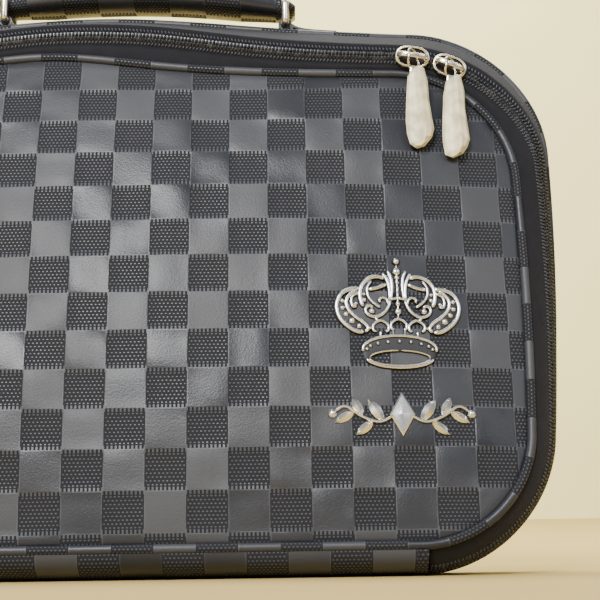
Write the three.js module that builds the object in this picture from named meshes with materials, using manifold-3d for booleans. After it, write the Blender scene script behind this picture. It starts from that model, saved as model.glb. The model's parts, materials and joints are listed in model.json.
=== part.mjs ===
// A tallit bag: a soft case with a domed front panel, a zip over the top and a padded handle.
// Millimetres, +Z up, the front faces -Y, X to the right, the origin at the middle of the flat base.
import * as THREE from "three";
import { mergeVertices } from "three/addons/utils/BufferGeometryUtils.js";
import Module from "manifold-3d";

// Body: three seams run round the bag, at the front panel, behind the zip and at the back panel.
const HALF_WIDTH = 195.5; // middle and rear seams, from the centre line to the side
const BODY_HEIGHT = 260.5; // middle seam, at the two ends of its top edge
const CORNER_RADIUS = 60; // upper corners
const FOOT_RADIUS = 57; // lower corners
const BODY_TAPER = 13; // each side is this much narrower at the foot than at the top
const BASE_DEPTH = 55; // middle seam to rear seam, at the floor
const ZIP_DEPTH = 25.5; // front seam to middle seam, at the floor
const FRONT_INSET_SIDE = 17.5; // front seam inside the middle seam, at the sides
const FRONT_INSET_TOP = 20;
const FRONT_LIFT = 11; // front seam above the middle seam, at the bottom
const FRONT_RADIUS = 55;
const FRONT_FOOT_RADIUS = 48;
const FRONT_TAPER = 3;
const LEAN_FRONT = 12; // degrees that each seam's plane leans back
const LEAN_MIDDLE = 9;
const LEAN_REAR = 3;
const REAR_RISE = 0.5; // rear seam above the middle seam, at the top
const FRONT_CREST = 13; // soft hump in the top edge of the front panel
const FRONT_CREST_AT = -45;
const FRONT_CREST_SPREAD = 63;
const BODY_CREST = 16.5;
const BODY_CREST_AT = -20;
const BODY_CREST_SPREAD = 110;
const FRONT_SIDE_BULGE = 4.5;
const BODY_SIDE_BULGE = 7.5;
const FRONT_DOME = 10;
const FRONT_DOME_POWER = 2.4;
const BACK_DOME = 5;
const BACK_DOME_POWER = 2.2;
const SIDE_BOW = 3; // the gusset swells this much between its seams, at the sides
const TOP_BOW = 0.5;

// Walls and trim
const WALL = 2; // leatherette with its foam
const TAPE_WALL = 1.2;
const PIPING_RADIUS = 2.1;
const PIPING_SIDES = 6;
const FIT_GAP = 0.3; // clearance between two pieces that touch
const FLOOR_CLEAR = 0.2; // the piping and hinge strip stay this far above the floor
const HINGE_TURN = 3; // degrees of each lower corner that the hinge strip covers

// Zip
const CHAIN_WIDTH = 7.6;
const CHAIN_HEIGHT = 2.4;
const CHAIN_PLACE = 0.57; // share of the way from the front seam to the middle seam, at the sides
const CHAIN_PLACE_TOP = 0.16;
const CHAIN_CREST = 0.26; // share that the chain strays up in the middle of the top
const CHAIN_CREST_AT = 5;
const CHAIN_CREST_SPREAD = 60;
const ZIP_BOW = 4; // the zip swells this much at the sides and the bottom
const ZIP_BOW_TOP = 6;
const ZIP_TILT_TOP = 40; // degrees that the chain's face turns down at the top
const TAPE_MARGIN = 1; // strip of tape beside the chain that lies flat with it

// Sliders and pulls, counted from the right side of the bag
const SLIDER_INSET_LEFT = 61.8;
const SLIDER_INSET_RIGHT = 43.6;
const SLIDER_CLEAR = 0.8; // under its plate, because the plate is straight and the chain curves
const SLIDER_LENGTH = 17;
const SLIDER_PLATE = 1.4;
const SLIDER_LIP = 1.2;
const BRIDGE_HEIGHT = 4.7;
const BRIDGE_BAR = 1.4;
const BRIDGE_WIDTH = 1.8;
const BRIDGE_FLAT = 9.6; // straight part of the bridge's bar
const EYE_HALF = 3.2;
const EYE_TOP = 2.6; // top of the pull's eye above the bridge's bar
const EYE_DROP = 7.5;
const EYE_TWIST = 50; // degrees
const EYE_WIRE = 0.6;
const TAB_LENGTH = 39;
const TAB_HALF = 5.7;
const TAB_THICK = 1.6;
const FILM_WALL = 0.5;
const FILM_TAIL = 1.6; // the film goes on this far below the tab
const FILM_START = 1.6; // the film's mouth below the foot of the eye
const PULL_HANG_LEFT = 13; // degrees that each pull hangs off square to its slider
const PULL_HANG_RIGHT = 26;
const PULL_CLEAR = 0.5; // resting pull to the panel and piping behind it
const BRIDGE_INSET = 1; // foot of the bridge inside the slider's end
const BRIDGE_ROUND = 0.6; // the bridge's shoulder bulges this much
const EYE_ROUND = 0.25; // the eye's top corner falls this much
const EYE_SHOULDER = 1.4; // top of the eye down to its shoulder, and on to its widest place
const EYE_WIDEST = 3;
const EYE_UNTWIST = 2; // the twist fades from here, below the bar, to the eye's foot

// Handle, rings and chapes
const RING_REACH = 71.5; // centre line of the bag to each ring
const RING_WIRE = 2; // radius
const RING_HEIGHT = 11.6; // between the centres of the two bars
const RING_CORNER = 2;
const RING_SIDES = 8;
const STRAP_WIDTH = 25;
const STRAP_END_WIDTH = 19.4;
const STRAP_THICK = 13;
const STRAP_END_THICK = 10.5;
const STRAP_CREST = 6; // middle of the strap above its ends
const STRAP_DROP = 2; // the strap's middle plane below the ring's upper bar
const STRAP_TIP = 5.2; // strap beyond the ring's bar
const STRAP_TIP_SHARE = 1 / 16; // share of half the strap that its rounded tip takes
const STRAP_TIP_THIN = 0.12; // square of the tip's least thickness, as a share of the strap's
const STRAP_NECK = 0.25; // the strap widens over this share of its half
const STRAP_NECK_FROM = 0.125;
const STRAP_STEPS = 18;
const CHAPE_WIDTH = 19.4;
const CHAPE_LENGTH = 26;
const CHAPE_THICK = 2.4;
const CHAPE_FOLD = 1.6; // leather round the ring's lower bar
const CHAPE_STEPS = 5;

// Crown and sprig on the front panel
const EMBLEM_INSET = 57; // from the front seam's side to the emblems' centre line
const CROWN_BASE = 91.5; // height of the crown's foot, along the panel
const CROWN_MIDDLE = 27; // the crown is set on the panel by its middle, this far above its foot
const CROWN_THICK = 1.6;
const CROWN_LOW = 0.8; // share of CROWN_THICK that the strokes stand out
const CROWN_GROUND = 0.4; // the same for the ground behind them
const SPRIG_HEIGHT = 70.5; // height of its middle, along the panel
const SPRIG_THICK = 1.6;

const UP = new THREE.Vector3(0, 0, 1);
const rad = THREE.MathUtils.degToRad;
const lerp = THREE.MathUtils.lerp;
const clamp = THREE.MathUtils.clamp;
const at = (x, y, z) => new THREE.Vector3(x, y, z);

const SEAM_BOTTOM = PIPING_RADIUS + FLOOR_CLEAR;
const FLOOR_DROP = SEAM_BOTTOM - WALL / 2; // base of the gusset below its seams
const SEAM_GAP = PIPING_RADIUS + FIT_GAP;
const SLIDER_WIDTH = CHAIN_WIDTH + 2 * (SLIDER_LIP + FIT_GAP);

const middleSeam = {
  half: HALF_WIDTH,
  bulge: BODY_SIDE_BULGE,
  taper: BODY_TAPER,
  bottom: SEAM_BOTTOM,
  top: BODY_HEIGHT,
  radius: CORNER_RADIUS,
  foot: FOOT_RADIUS,
  crest: BODY_CREST,
  crestAt: BODY_CREST_AT,
  crestSpread: BODY_CREST_SPREAD,
  y: -BASE_DEPTH / 2,
  lean: LEAN_MIDDLE,
};
const rearSeam = {
  ...middleSeam,
  top: BODY_HEIGHT + REAR_RISE,
  y: BASE_DEPTH / 2,
  lean: LEAN_REAR,
};
const frontSeam = {
  half: HALF_WIDTH - FRONT_INSET_SIDE,
  bulge: FRONT_SIDE_BULGE,
  taper: FRONT_TAPER,
  bottom: SEAM_BOTTOM + FRONT_LIFT,
  top: BODY_HEIGHT - FRONT_INSET_TOP,
  radius: FRONT_RADIUS,
  foot: FRONT_FOOT_RADIUS,
  crest: FRONT_CREST,
  crestAt: FRONT_CREST_AT,
  crestSpread: FRONT_CREST_SPREAD,
  y: -BASE_DEPTH / 2 - ZIP_DEPTH,
  lean: LEAN_FRONT,
};

// Number of steps on half a seam: on the flat of the hinge strip, on its turned end, on each corner, on the
// side and on half the top.
const STEPS = { hinge: 3, end: 1, corner: 5, side: 3, top: 6 };
const HINGE_STEPS = STEPS.hinge + STEPS.end;

// A soft hump of one height at x.
function hump(height, place, spread, x) {
  return height / (1 + ((x - place) / spread) ** 2);
}

// Height that the crest adds to a seam's top edge at x.
function crestLift(seam, x) {
  return hump(seam.crest, seam.crestAt, seam.crestSpread, x);
}

// The point of a seam's plane at an elevation of x and z.
function onSeam(seam, x, z) {
  return at(x, seam.y + z * Math.tan(rad(seam.lean)), z);
}

// The middle of a seam's top edge, for x between its corners.
function seamTop(seam, x) {
  return onSeam(seam, x, seam.top + crestLift(seam, x));
}

// A seam's points and outward directions, anticlockwise from the middle of the bottom.
function seamLoop(seam) {
  const { half, bottom, top, radius, foot } = seam;
  const right = [];
  const line = (x0, z0, x1, z1, steps) => {
    for (let i = 0; i < steps; i++) right.push([lerp(x0, x1, i / steps), lerp(z0, z1, i / steps)]);
  };
  const arc = (cx, cz, size, from, to, steps) => {
    for (let i = 0; i < steps; i++) {
      const angle = rad(lerp(from, to, i / steps));
      right.push([cx + size * Math.cos(angle), cz + size * Math.sin(angle)]);
    }
  };
  line(0, bottom, half - foot, bottom, STEPS.hinge);
  arc(half - foot, bottom + foot, foot, -90, HINGE_TURN - 90, STEPS.end);
  arc(half - foot, bottom + foot, foot, HINGE_TURN - 90, 0, STEPS.corner);
  line(half, bottom + foot, half, top - radius, STEPS.side);
  arc(half - radius, top - radius, radius, 0, 90, STEPS.corner);
  line(half - radius, top, 0, top, STEPS.top);
  const left = right.slice(1).reverse().map(([x, z]) => [-x, z]);

  const shaped = [...right, [0, top], ...left].map(([x, z]) => {
    const share = (z - bottom) / (top - bottom);
    const fromMiddle = 2 * share - 1;
    const wide = x * (1 + (seam.bulge * (1 - fromMiddle ** 2) - seam.taper * (1 - share)) / half);
    return onSeam(seam, wide, z + crestLift(seam, x) * clamp(fromMiddle, 0, 1) ** 3);
  });
  const count = shaped.length;
  const outward = shaped.map((p, i) => {
    const run = shaped[(i + 1) % count].clone().sub(shaped[(i + count - 1) % count]);
    return at(run.z, 0, -run.x).normalize();
  });
  return { points: shaped, outward };
}

const front = seamLoop(frontSeam);
const middle = seamLoop(middleSeam);
const rear = seamLoop(rearSeam);
const COUNT = front.points.length;
const centreOf = (seam) => onSeam(seam, 0, (seam.bottom + seam.top) / 2);

// Geometry from points and three- or four-cornered faces, turned so that its faces point out.
function closedGeometry(points, faces) {
  const split = ([a, b, c, d]) => (d === undefined ? [[a, b, c]] : [[a, b, c], [a, c, d]]);
  const triangles = faces.flatMap(split);
  const cross = new THREE.Vector3();
  let volume = 0;
  for (const [a, b, c] of triangles) volume += points[a].dot(cross.crossVectors(points[b], points[c]));
  const turned = volume < 0 ? triangles.map(([a, b, c]) => [a, c, b]) : triangles;
  const geometry = new THREE.BufferGeometry();
  const places = points.flatMap((p) => p.toArray());
  geometry.setAttribute("position", new THREE.Float32BufferAttribute(places, 3));
  geometry.setIndex(turned.flat());
  return geometry;
}

// A wall of one thickness whose middle surface goes through the rows of points. A closed sheet's rows are
// loops, and centre closes the last row with a fan. lifts gives other directions for the thickness.
function sheet(rows, wall, { closed = false, centre = null, lifts = null } = {}) {
  const count = rows[0].length;
  const wrap = (i) => (closed ? (i + count) % count : clamp(i, 0, count - 1));
  const points = [];
  const normalAt = (j, i) => {
    if (lifts) return lifts[i];
    const along = rows[j][wrap(i + 1)].clone().sub(rows[j][wrap(i - 1)]);
    const before = rows[Math.max(j - 1, 0)][i];
    const after = j + 1 < rows.length ? rows[j + 1][i] : centre ?? rows[j][i];
    return after.clone().sub(before).cross(along).normalize();
  };
  for (const lift of [wall / 2, -wall / 2])
    rows.forEach((row, j) =>
      row.forEach((p, i) => points.push(p.clone().addScaledVector(normalAt(j, i), lift))),
    );
  const inner = rows.length * count;
  const outerAt = (j, i) => j * count + wrap(i);
  const innerAt = (j, i) => inner + outerAt(j, i);
  const faces = [];
  const last = rows.length - 1;
  for (let i = 0; i < (closed ? count : count - 1); i++) {
    for (let j = 0; j < last; j++) {
      faces.push([outerAt(j, i), outerAt(j + 1, i), outerAt(j + 1, i + 1), outerAt(j, i + 1)]);
      faces.push([innerAt(j, i), innerAt(j, i + 1), innerAt(j + 1, i + 1), innerAt(j + 1, i)]);
    }
    faces.push([outerAt(0, i), outerAt(0, i + 1), innerAt(0, i + 1), innerAt(0, i)]);
    if (!centre)
      faces.push([outerAt(last, i + 1), outerAt(last, i), innerAt(last, i), innerAt(last, i + 1)]);
  }
  if (centre) {
    const hub = points.length;
    const quarter = Math.floor(count / 4);
    const across = rows[last][quarter].clone().sub(rows[last][wrap(quarter + Math.floor(count / 2))]);
    const along = rows[last][0].clone().sub(rows[last][Math.floor(count / 2)]);
    const normal = across.cross(along).normalize();
    for (const lift of [wall / 2, -wall / 2]) points.push(centre.clone().addScaledVector(normal, lift));
    for (let i = 0; i < count; i++) {
      faces.push([outerAt(last, i + 1), outerAt(last, i), hub]);
      faces.push([innerAt(last, i), innerAt(last, i + 1), hub + 1]);
    }
  }
  if (!closed)
    for (let j = 0; j < last; j++) {
      const end = count - 1;
      faces.push([outerAt(j + 1, 0), outerAt(j, 0), innerAt(j, 0), innerAt(j + 1, 0)]);
      faces.push([outerAt(j, end), outerAt(j + 1, end), innerAt(j + 1, end), innerAt(j, end)]);
    }
  return closedGeometry(points, faces);
}

// A solid through rings of points. A closed one joins its last ring to its first.
function loft(rings, closed = false) {
  const size = rings[0].length;
  const points = rings.flat();
  const id = (ring, k) => (ring % rings.length) * size + (k % size);
  const faces = [];
  for (let r = 0; r < (closed ? rings.length : rings.length - 1); r++)
    for (let k = 0; k < size; k++) faces.push([id(r, k), id(r + 1, k), id(r + 1, k + 1), id(r, k + 1)]);
  if (!closed)
    for (let k = 1; k < size - 1; k++) {
      faces.push([id(0, 0), id(0, k), id(0, k + 1)]);
      faces.push([id(rings.length - 1, 0), id(rings.length - 1, k + 1), id(rings.length - 1, k)]);
    }
  return closedGeometry(points, faces);
}

// A section of [s, t] pairs carried along frames, each a point p with the directions of s and t.
function sweep(frames, section, closed = false) {
  return loft(
    frames.map(({ p, s, t }) =>
      section.map(([a, b]) => p.clone().addScaledVector(s, a).addScaledVector(t, b)),
    ),
    closed,
  );
}

function roundSection(radius, sides) {
  return Array.from({ length: sides }, (_, k) => {
    const angle = ((k + 0.5) / sides) * 2 * Math.PI;
    return [radius * Math.cos(angle), radius * Math.sin(angle)];
  });
}

// A flat oval section: a box whose corners are cut.
function padSection(width, height, cut) {
  const w = width / 2;
  const h = height / 2;
  return [
    [w, -h + cut], [w, h - cut], [w - cut, h], [-w + cut, h],
    [-w, h - cut], [-w, -h + cut], [-w + cut, -h], [w - cut, -h],
  ];
}

const wasm = await Module();
wasm.setup();

// Cuts and joins work on solids made from geometries and give a geometry back.
function solidOf(geometry) {
  const bare = geometry.clone();
  for (const name of ["normal", "uv"]) bare.deleteAttribute(name);
  const merged = mergeVertices(bare, 1e-4);
  return new wasm.Manifold(
    new wasm.Mesh({
      numProp: 3,
      vertProperties: merged.attributes.position.array,
      triVerts: new Uint32Array(merged.index.array),
    }),
  );
}

function geometryOf(solid) {
  const mesh = solid.getMesh();
  const geometry = new THREE.BufferGeometry();
  geometry.setAttribute("position", new THREE.BufferAttribute(mesh.vertProperties, 3));
  geometry.setIndex(new THREE.BufferAttribute(mesh.triVerts, 1));
  return geometry;
}

function joined(geometries) {
  return geometryOf(geometries.map(solidOf).reduce((all, one) => all.add(one)));
}

function cut(geometry, tools) {
  return geometryOf(tools.map(solidOf).reduce((left, tool) => left.subtract(tool), solidOf(geometry)));
}

const LEATHER = { color: 0x2b2f3a, roughness: 0.5, metalness: 0 };
const DARK_LEATHER = { color: 0x1f2129, roughness: 0.55, metalness: 0 };
const TAPE = { color: 0x20202a, roughness: 0.9, metalness: 0 };
const COIL = { color: 0x141417, roughness: 0.45, metalness: 0 };
const NICKEL = { color: 0xd8d2c4, roughness: 0.22, metalness: 1 };
const SILVER = { color: 0xd5d6d4, roughness: 0.3, metalness: 1 };
const FILM = { color: 0xe1decb, roughness: 0.6, metalness: 0 };

const bag = new THREE.Group();

function add(name, geometry, finish, parent = bag) {
  geometry.computeVertexNormals();
  const mesh = new THREE.Mesh(geometry, new THREE.MeshStandardMaterial(finish));
  mesh.name = name;
  parent.add(mesh);
  return mesh;
}

// The zip covers every seam point but those of the hinge strip. Its ends stop FIT_GAP short of the strip.
function zipRun(list) {
  const run = list.slice(HINGE_STEPS, COUNT - HINGE_STEPS + 1).map((p) => p.clone());
  const pull = (end, next) => run[end].add(run[next].clone().sub(run[end]).setLength(FIT_GAP));
  pull(0, 1);
  pull(run.length - 1, run.length - 2);
  return run;
}

function hingeRun(list) {
  return [...list.slice(COUNT - HINGE_STEPS), ...list.slice(0, HINGE_STEPS + 1)];
}

// Piping: a round cord inside a leather welt.
function piping(points, outward, closed) {
  const last = points.length - 1;
  const frames = points.map((p, i) => {
    const before = points[closed ? (i + last) % points.length : Math.max(i - 1, 0)];
    const after = points[closed ? (i + 1) % points.length : Math.min(i + 1, last)];
    const s = outward[i];
    const along = after.clone().sub(before).normalize();
    return { p, s, t: along.cross(s).normalize() };
  });
  return sweep(frames, roundSection(PIPING_RADIUS, PIPING_SIDES), closed);
}

// Panels: rings shrink from the seam to the centre, and the dome lifts them off the seam's plane.
const PANEL_SHARES = [1, 0.85, 0.5];

function domeLift(share, dome, power) {
  return dome * (1 - share ** power);
}

function panelRim(loop) {
  return loop.points.map((p, i) => p.clone().addScaledVector(loop.outward[i], -SEAM_GAP));
}

function panel(seam, loop, dome, power, facing) {
  const centre = centreOf(seam);
  const out = at(0, -Math.cos(rad(seam.lean)), Math.sin(rad(seam.lean))).multiplyScalar(facing);
  const rim = panelRim(loop);
  const rows = PANEL_SHARES.map((share) =>
    rim.map((p) => centre.clone().lerp(p, share).addScaledVector(out, domeLift(share, dome, power))),
  );
  const hub = centre.clone().addScaledVector(out, domeLift(0, dome, power));
  return sheet(rows, WALL, { closed: true, centre: hub });
}

// The outer face of the front panel above a point of its seam's plane, and its outward direction.
const frontRim = panelRim(front);
const frontCentre = centreOf(frontSeam);
const frontOut = at(0, -Math.cos(rad(LEAN_FRONT)), Math.sin(rad(LEAN_FRONT)));

function frontShare(x, z) {
  const ray = Math.atan2(z - frontCentre.z, x);
  for (let i = 0; i < COUNT; i++) {
    const a = frontRim[i];
    const b = frontRim[(i + 1) % COUNT];
    const from = Math.atan2(a.z - frontCentre.z, a.x);
    let width = Math.atan2(b.z - frontCentre.z, b.x) - from;
    if (width < -Math.PI) width += 2 * Math.PI;
    let turn = ray - from;
    if (turn < -Math.PI) turn += 2 * Math.PI;
    if (turn < 0 || turn > width) continue;
    const edge = at(b.x - a.x, 0, b.z - a.z);
    const reach = Math.cos(ray) * edge.z - Math.sin(ray) * edge.x;
    const hit = (a.x * edge.z - (a.z - frontCentre.z) * edge.x) / reach;
    return Math.hypot(x, z - frontCentre.z) / hit;
  }
  return 1;
}

function frontFace(x, z) {
  const lift = domeLift(Math.min(frontShare(x, z), 1), FRONT_DOME, FRONT_DOME_POWER);
  return onSeam(frontSeam, x, z).addScaledVector(frontOut, lift + WALL / 2);
}

// A frame that stands on the front panel at x and z: X along it, Y up it and Z out of it.
function frontFrame(x, z) {
  const step = 12;
  const along = frontFace(x + step, z).sub(frontFace(x - step, z)).normalize();
  const up = frontFace(x, z + step).sub(frontFace(x, z - step)).normalize();
  const out = along.clone().cross(up).normalize();
  up.copy(out).cross(along);
  const place = frontFace(x, z).addScaledVector(out, FIT_GAP);
  return new THREE.Matrix4().makeBasis(along, up, out).setPosition(place);
}

add("front_panel", panel(frontSeam, front, FRONT_DOME, FRONT_DOME_POWER, 1), LEATHER);
add("back_panel", panel(rearSeam, rear, BACK_DOME, BACK_DOME_POWER, -1), LEATHER);
add("front_piping", piping(front.points, front.outward, true), LEATHER);
add("rear_piping", piping(rear.points, rear.outward, true), LEATHER);
const middleOutward = zipRun(middle.outward).map((v) => v.normalize());
add("middle_piping", piping(zipRun(middle.points), middleOutward, false), LEATHER);

// Gusset: flat on the floor, swollen between the seams at the sides and the top.
const GUSSET_SHARES = [0, 0.08, 0.5, 0.92, 1];
const FLOOR_EDGE = GUSSET_SHARES[1];

function gussetRows() {
  return GUSSET_SHARES.map((share) =>
    middle.points.map((p, i) => {
      const across = rear.points[i].clone().sub(p);
      const length = across.length();
      const way = SEAM_GAP + (length - 2 * SEAM_GAP) * share;
      const down = clamp(-middle.outward[i].z, 0, 1) ** 2;
      const floor = FLOOR_DROP * Math.min(1, share / FLOOR_EDGE, (1 - share) / FLOOR_EDGE);
      const up = clamp(middle.outward[i].z, 0, 1) ** 2;
      const bow = lerp(SIDE_BOW, TOP_BOW, up) * 4 * share * (1 - share);
      const point = p.clone().addScaledVector(across, way / length);
      return point.addScaledVector(middle.outward[i], lerp(bow, floor, down));
    }),
  );
}
add("gusset", sheet(gussetRows(), WALL, { closed: true, lifts: middle.outward }), LEATHER);

// The gusset's outer face on top, at x and at a share of its depth.
function gussetTop(x, share) {
  const point = seamTop(middleSeam, x).lerp(seamTop(rearSeam, x), share);
  return point.add(at(0, 0, WALL / 2 + TOP_BOW * 4 * share * (1 - share)));
}

// Hinge strip: rolls from under the front piping onto the floor and back to the gusset.
function hingeRows() {
  const fronts = hingeRun(front.points);
  const middles = hingeRun(middle.points);
  const low = WALL / 2 + FLOOR_CLEAR;
  return [0, 0.14, 0.3, 0.5, 0.75, 1].map((share) =>
    fronts.map((p, i) => {
      const turn = at(p.x, p.y, low);
      const end = at(p.x, middles[i].y + PIPING_RADIUS, low);
      const start = p.clone().add(at(0, 0, -SEAM_GAP));
      return start.lerp(turn, share).lerp(turn.clone().lerp(end, share), share);
    }),
  );
}
add("hinge_strip", sheet(hingeRows(), WALL), LEATHER);

// Zip: the chain runs between two tapes and lies proud of the line from seam to seam.
const zipFront = zipRun(front.points);
const zipMiddle = zipRun(middle.points);
const zipFrames = zipFront.map((p, i) => {
  const ahead = Math.min(i + 1, zipFront.length - 1);
  const behind = Math.max(i - 1, 0);
  const across = zipMiddle[i].clone().sub(p);
  const along = zipFront[ahead].clone().sub(zipFront[behind]);
  along.add(zipMiddle[ahead]).sub(zipMiddle[behind]).normalize();
  const out = across.clone().cross(along).normalize();
  const up = clamp(middleOutward[i].z, 0, 1);
  const topShare = CHAIN_PLACE_TOP + hump(CHAIN_CREST, CHAIN_CREST_AT, CHAIN_CREST_SPREAD, p.x);
  const place = p.clone().lerp(zipMiddle[i], lerp(CHAIN_PLACE, topShare, up));
  place.addScaledVector(out, lerp(ZIP_BOW, ZIP_BOW_TOP, up));
  for (const way of [across.normalize(), out]) way.applyAxisAngle(along, -rad(ZIP_TILT_TOP * up));
  return { p: place, s: across, t: out };
});

function tapeRows(seamPoints, side) {
  const start = CHAIN_WIDTH / 2 + FIT_GAP;
  const flat = [start, start + TAPE_MARGIN].map((way) =>
    zipFrames.map(({ p, s }) => p.clone().addScaledVector(s, side * way)),
  );
  const last = seamPoints.length - 1;
  const ends = flat[1].map((edge, i) => {
    const way = seamPoints[i].clone().sub(edge);
    const along = seamPoints[Math.min(i + 1, last)].clone().sub(seamPoints[Math.max(i - 1, 0)]).normalize();
    const square = way.clone().addScaledVector(along, -way.dot(along)).length();
    return edge.clone().addScaledVector(way, 1 - SEAM_GAP / square);
  });
  return [...flat, ends];
}
add("zip_tape_front", sheet(tapeRows(zipFront, -1), TAPE_WALL), TAPE);
add("zip_tape_rear", sheet(tapeRows(zipMiddle, 1), TAPE_WALL), TAPE);

const CHAIN_LIFT = (CHAIN_HEIGHT - TAPE_WALL) / 2;
const chainSection = [[1, -1], [1, 0.2], [0.8, 1], [-0.8, 1], [-1, 0.2], [-1, -1]].map(([s, t]) => [
  (s * CHAIN_WIDTH) / 2,
  CHAIN_LIFT + (t * CHAIN_HEIGHT) / 2,
]);
add("zip_chain", sweep(zipFrames, chainSection), COIL);

// The chain's middle at x on the top of the bag, with its directions out of the bag and along the chain.
function chainAt(x) {
  const i = zipFrames.findIndex(({ p }, k) => k > STEPS.corner + STEPS.side && p.x < x);
  const a = zipFrames[i - 1];
  const b = zipFrames[i];
  const share = (a.p.x - x) / (a.p.x - b.p.x);
  const out = a.t.clone().lerp(b.t, share).normalize();
  return { p: a.p.clone().lerp(b.p, share), out, along: b.p.clone().sub(a.p).normalize() };
}

// A slider's plate, as shares of its half length and half width.
const PLATE_OUTLINE = [
  [1, 0], [0.8, 0.72], [0.5, 1], [-0.5, 1], [-0.8, 0.72],
  [-1, 0], [-0.8, -0.72], [-0.5, -1], [0.5, -1], [0.8, -0.72],
];

// Slider: X to the right along the chain, Y up across it, Z out of it, from the chain's outer face.
function sliderGeometry() {
  const half = SLIDER_LENGTH / 2;
  const outline = new THREE.Shape(
    PLATE_OUTLINE.map(([x, y]) => new THREE.Vector2(x * half, (y * SLIDER_WIDTH) / 2)),
  );
  const plate = new THREE.ExtrudeGeometry(outline, { depth: SLIDER_PLATE, bevelEnabled: false });
  const lipTall = CHAIN_LIFT + CHAIN_HEIGHT / 2 - TAPE_WALL / 2 + SLIDER_PLATE / 2;
  const lips = [-1, 1].map((side) => {
    const lip = new THREE.BoxGeometry(half, SLIDER_LIP, lipTall);
    return lip.translate(0, (side * (SLIDER_WIDTH - SLIDER_LIP)) / 2, (SLIDER_PLATE - lipTall) / 2);
  });
  const foot = half - BRIDGE_INSET;
  const flat = BRIDGE_FLAT / 2;
  const top = SLIDER_PLATE + BRIDGE_HEIGHT;
  const shoulder = (foot + flat) / 2 + BRIDGE_ROUND;
  const arch = [
    [-foot, SLIDER_PLATE / 2], [-foot, top * 0.5], [-shoulder, top * 0.82], [-flat, top],
    [flat, top], [shoulder, top * 0.82], [foot, top * 0.5], [foot, SLIDER_PLATE / 2],
    [foot - BRIDGE_BAR, SLIDER_PLATE / 2], [foot - BRIDGE_BAR, top * 0.4], [flat, top - BRIDGE_BAR],
    [-flat, top - BRIDGE_BAR], [-foot + BRIDGE_BAR, top * 0.4], [-foot + BRIDGE_BAR, SLIDER_PLATE / 2],
  ];
  const archShape = new THREE.Shape(arch.map(([x, z]) => new THREE.Vector2(x, z)));
  const bridge = new THREE.ExtrudeGeometry(archShape, { depth: BRIDGE_WIDTH, bevelEnabled: false });
  bridge.rotateX(Math.PI / 2).translate(0, BRIDGE_WIDTH / 2, 0);
  return joined([plate, ...lips, bridge]);
}

// Pull: Z up its length from the bridge's bar, Y out of the bag. The eye is twisted to let the bar through.
const eyeOutline = [
  [0, EYE_TOP], [EYE_HALF * 0.6, EYE_TOP - EYE_ROUND], [EYE_HALF * 0.9, EYE_TOP - EYE_SHOULDER],
  [EYE_HALF, EYE_TOP - EYE_WIDEST], [EYE_HALF, -EYE_DROP * 0.45],
  [EYE_HALF * 0.8, -EYE_DROP * 0.75], [EYE_HALF * 0.45, -EYE_DROP],
];

function pullGeometry() {
  const twisted = (x, z) => {
    const turn = rad(EYE_TWIST) * clamp(1 + (z + EYE_UNTWIST) / (EYE_DROP - EYE_UNTWIST), 0, 1);
    return at(x * Math.cos(turn), x * Math.sin(turn), z);
  };
  const right = eyeOutline.map(([x, z]) => twisted(x, z));
  const left = eyeOutline.slice(1).reverse().map(([x, z]) => twisted(-x, z));
  const centres = [...right, ...left];
  const frames = centres.map((p, i) => {
    const along = centres[(i + 1) % centres.length].clone().sub(centres.at(i - 1));
    const s = p.clone().sub(at(0, 0, (EYE_TOP - EYE_DROP) / 2));
    s.addScaledVector(along, -s.dot(along) / along.lengthSq()).normalize();
    return { p, s, t: along.normalize().clone().cross(s) };
  });
  const eye = sweep(frames, roundSection(EYE_WIRE, 6), true);
  const tab = loft(tabRings(0, 0, TAB_LENGTH));
  return joined([eye, tab]);
}

// Half widths of the tab down its length, as shares of TAB_LENGTH and TAB_HALF.
const TAB_TABLE = [
  { down: 0, half: 0.36 },
  { down: 0.25, half: 0.62 },
  { down: 0.55, half: 0.86 },
  { down: 0.8, half: 1 },
  { down: 0.92, half: 0.94 },
  { down: 1, half: 0.66 },
];

// The tab's section, as shares of its half width and half thickness.
const TAB_SECTION = [
  [1, -0.45], [1, 0.45], [0.8, 1], [-0.8, 1], [-1, 0.45], [-1, -0.45], [-0.8, -1], [0.8, -1],
];

// Rings of the tab's outline grown by an amount, from the eye's foot down to a length.
function tabRings(grow, rise, length) {
  return TAB_TABLE.map(({ down, half }) => {
    const w = half * TAB_HALF + grow;
    const h = TAB_THICK / 2 + grow;
    const z = -EYE_DROP + rise - down * (length + rise);
    return TAB_SECTION.map(([x, y]) => at(x * w, y * h, z));
  });
}

function filmGeometry() {
  const body = loft(tabRings(FIT_GAP + FILM_WALL, -FILM_START, TAB_LENGTH + FILM_TAIL));
  const hollow = loft(tabRings(FIT_GAP, FIT_GAP, TAB_LENGTH + FIT_GAP));
  return cut(body, [hollow]);
}

// A pull rests where the back of its film is PULL_CLEAR off the panel and the front piping.
const REST_TRIES = { from: -30, to: 60, step: 0.25 };

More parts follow.
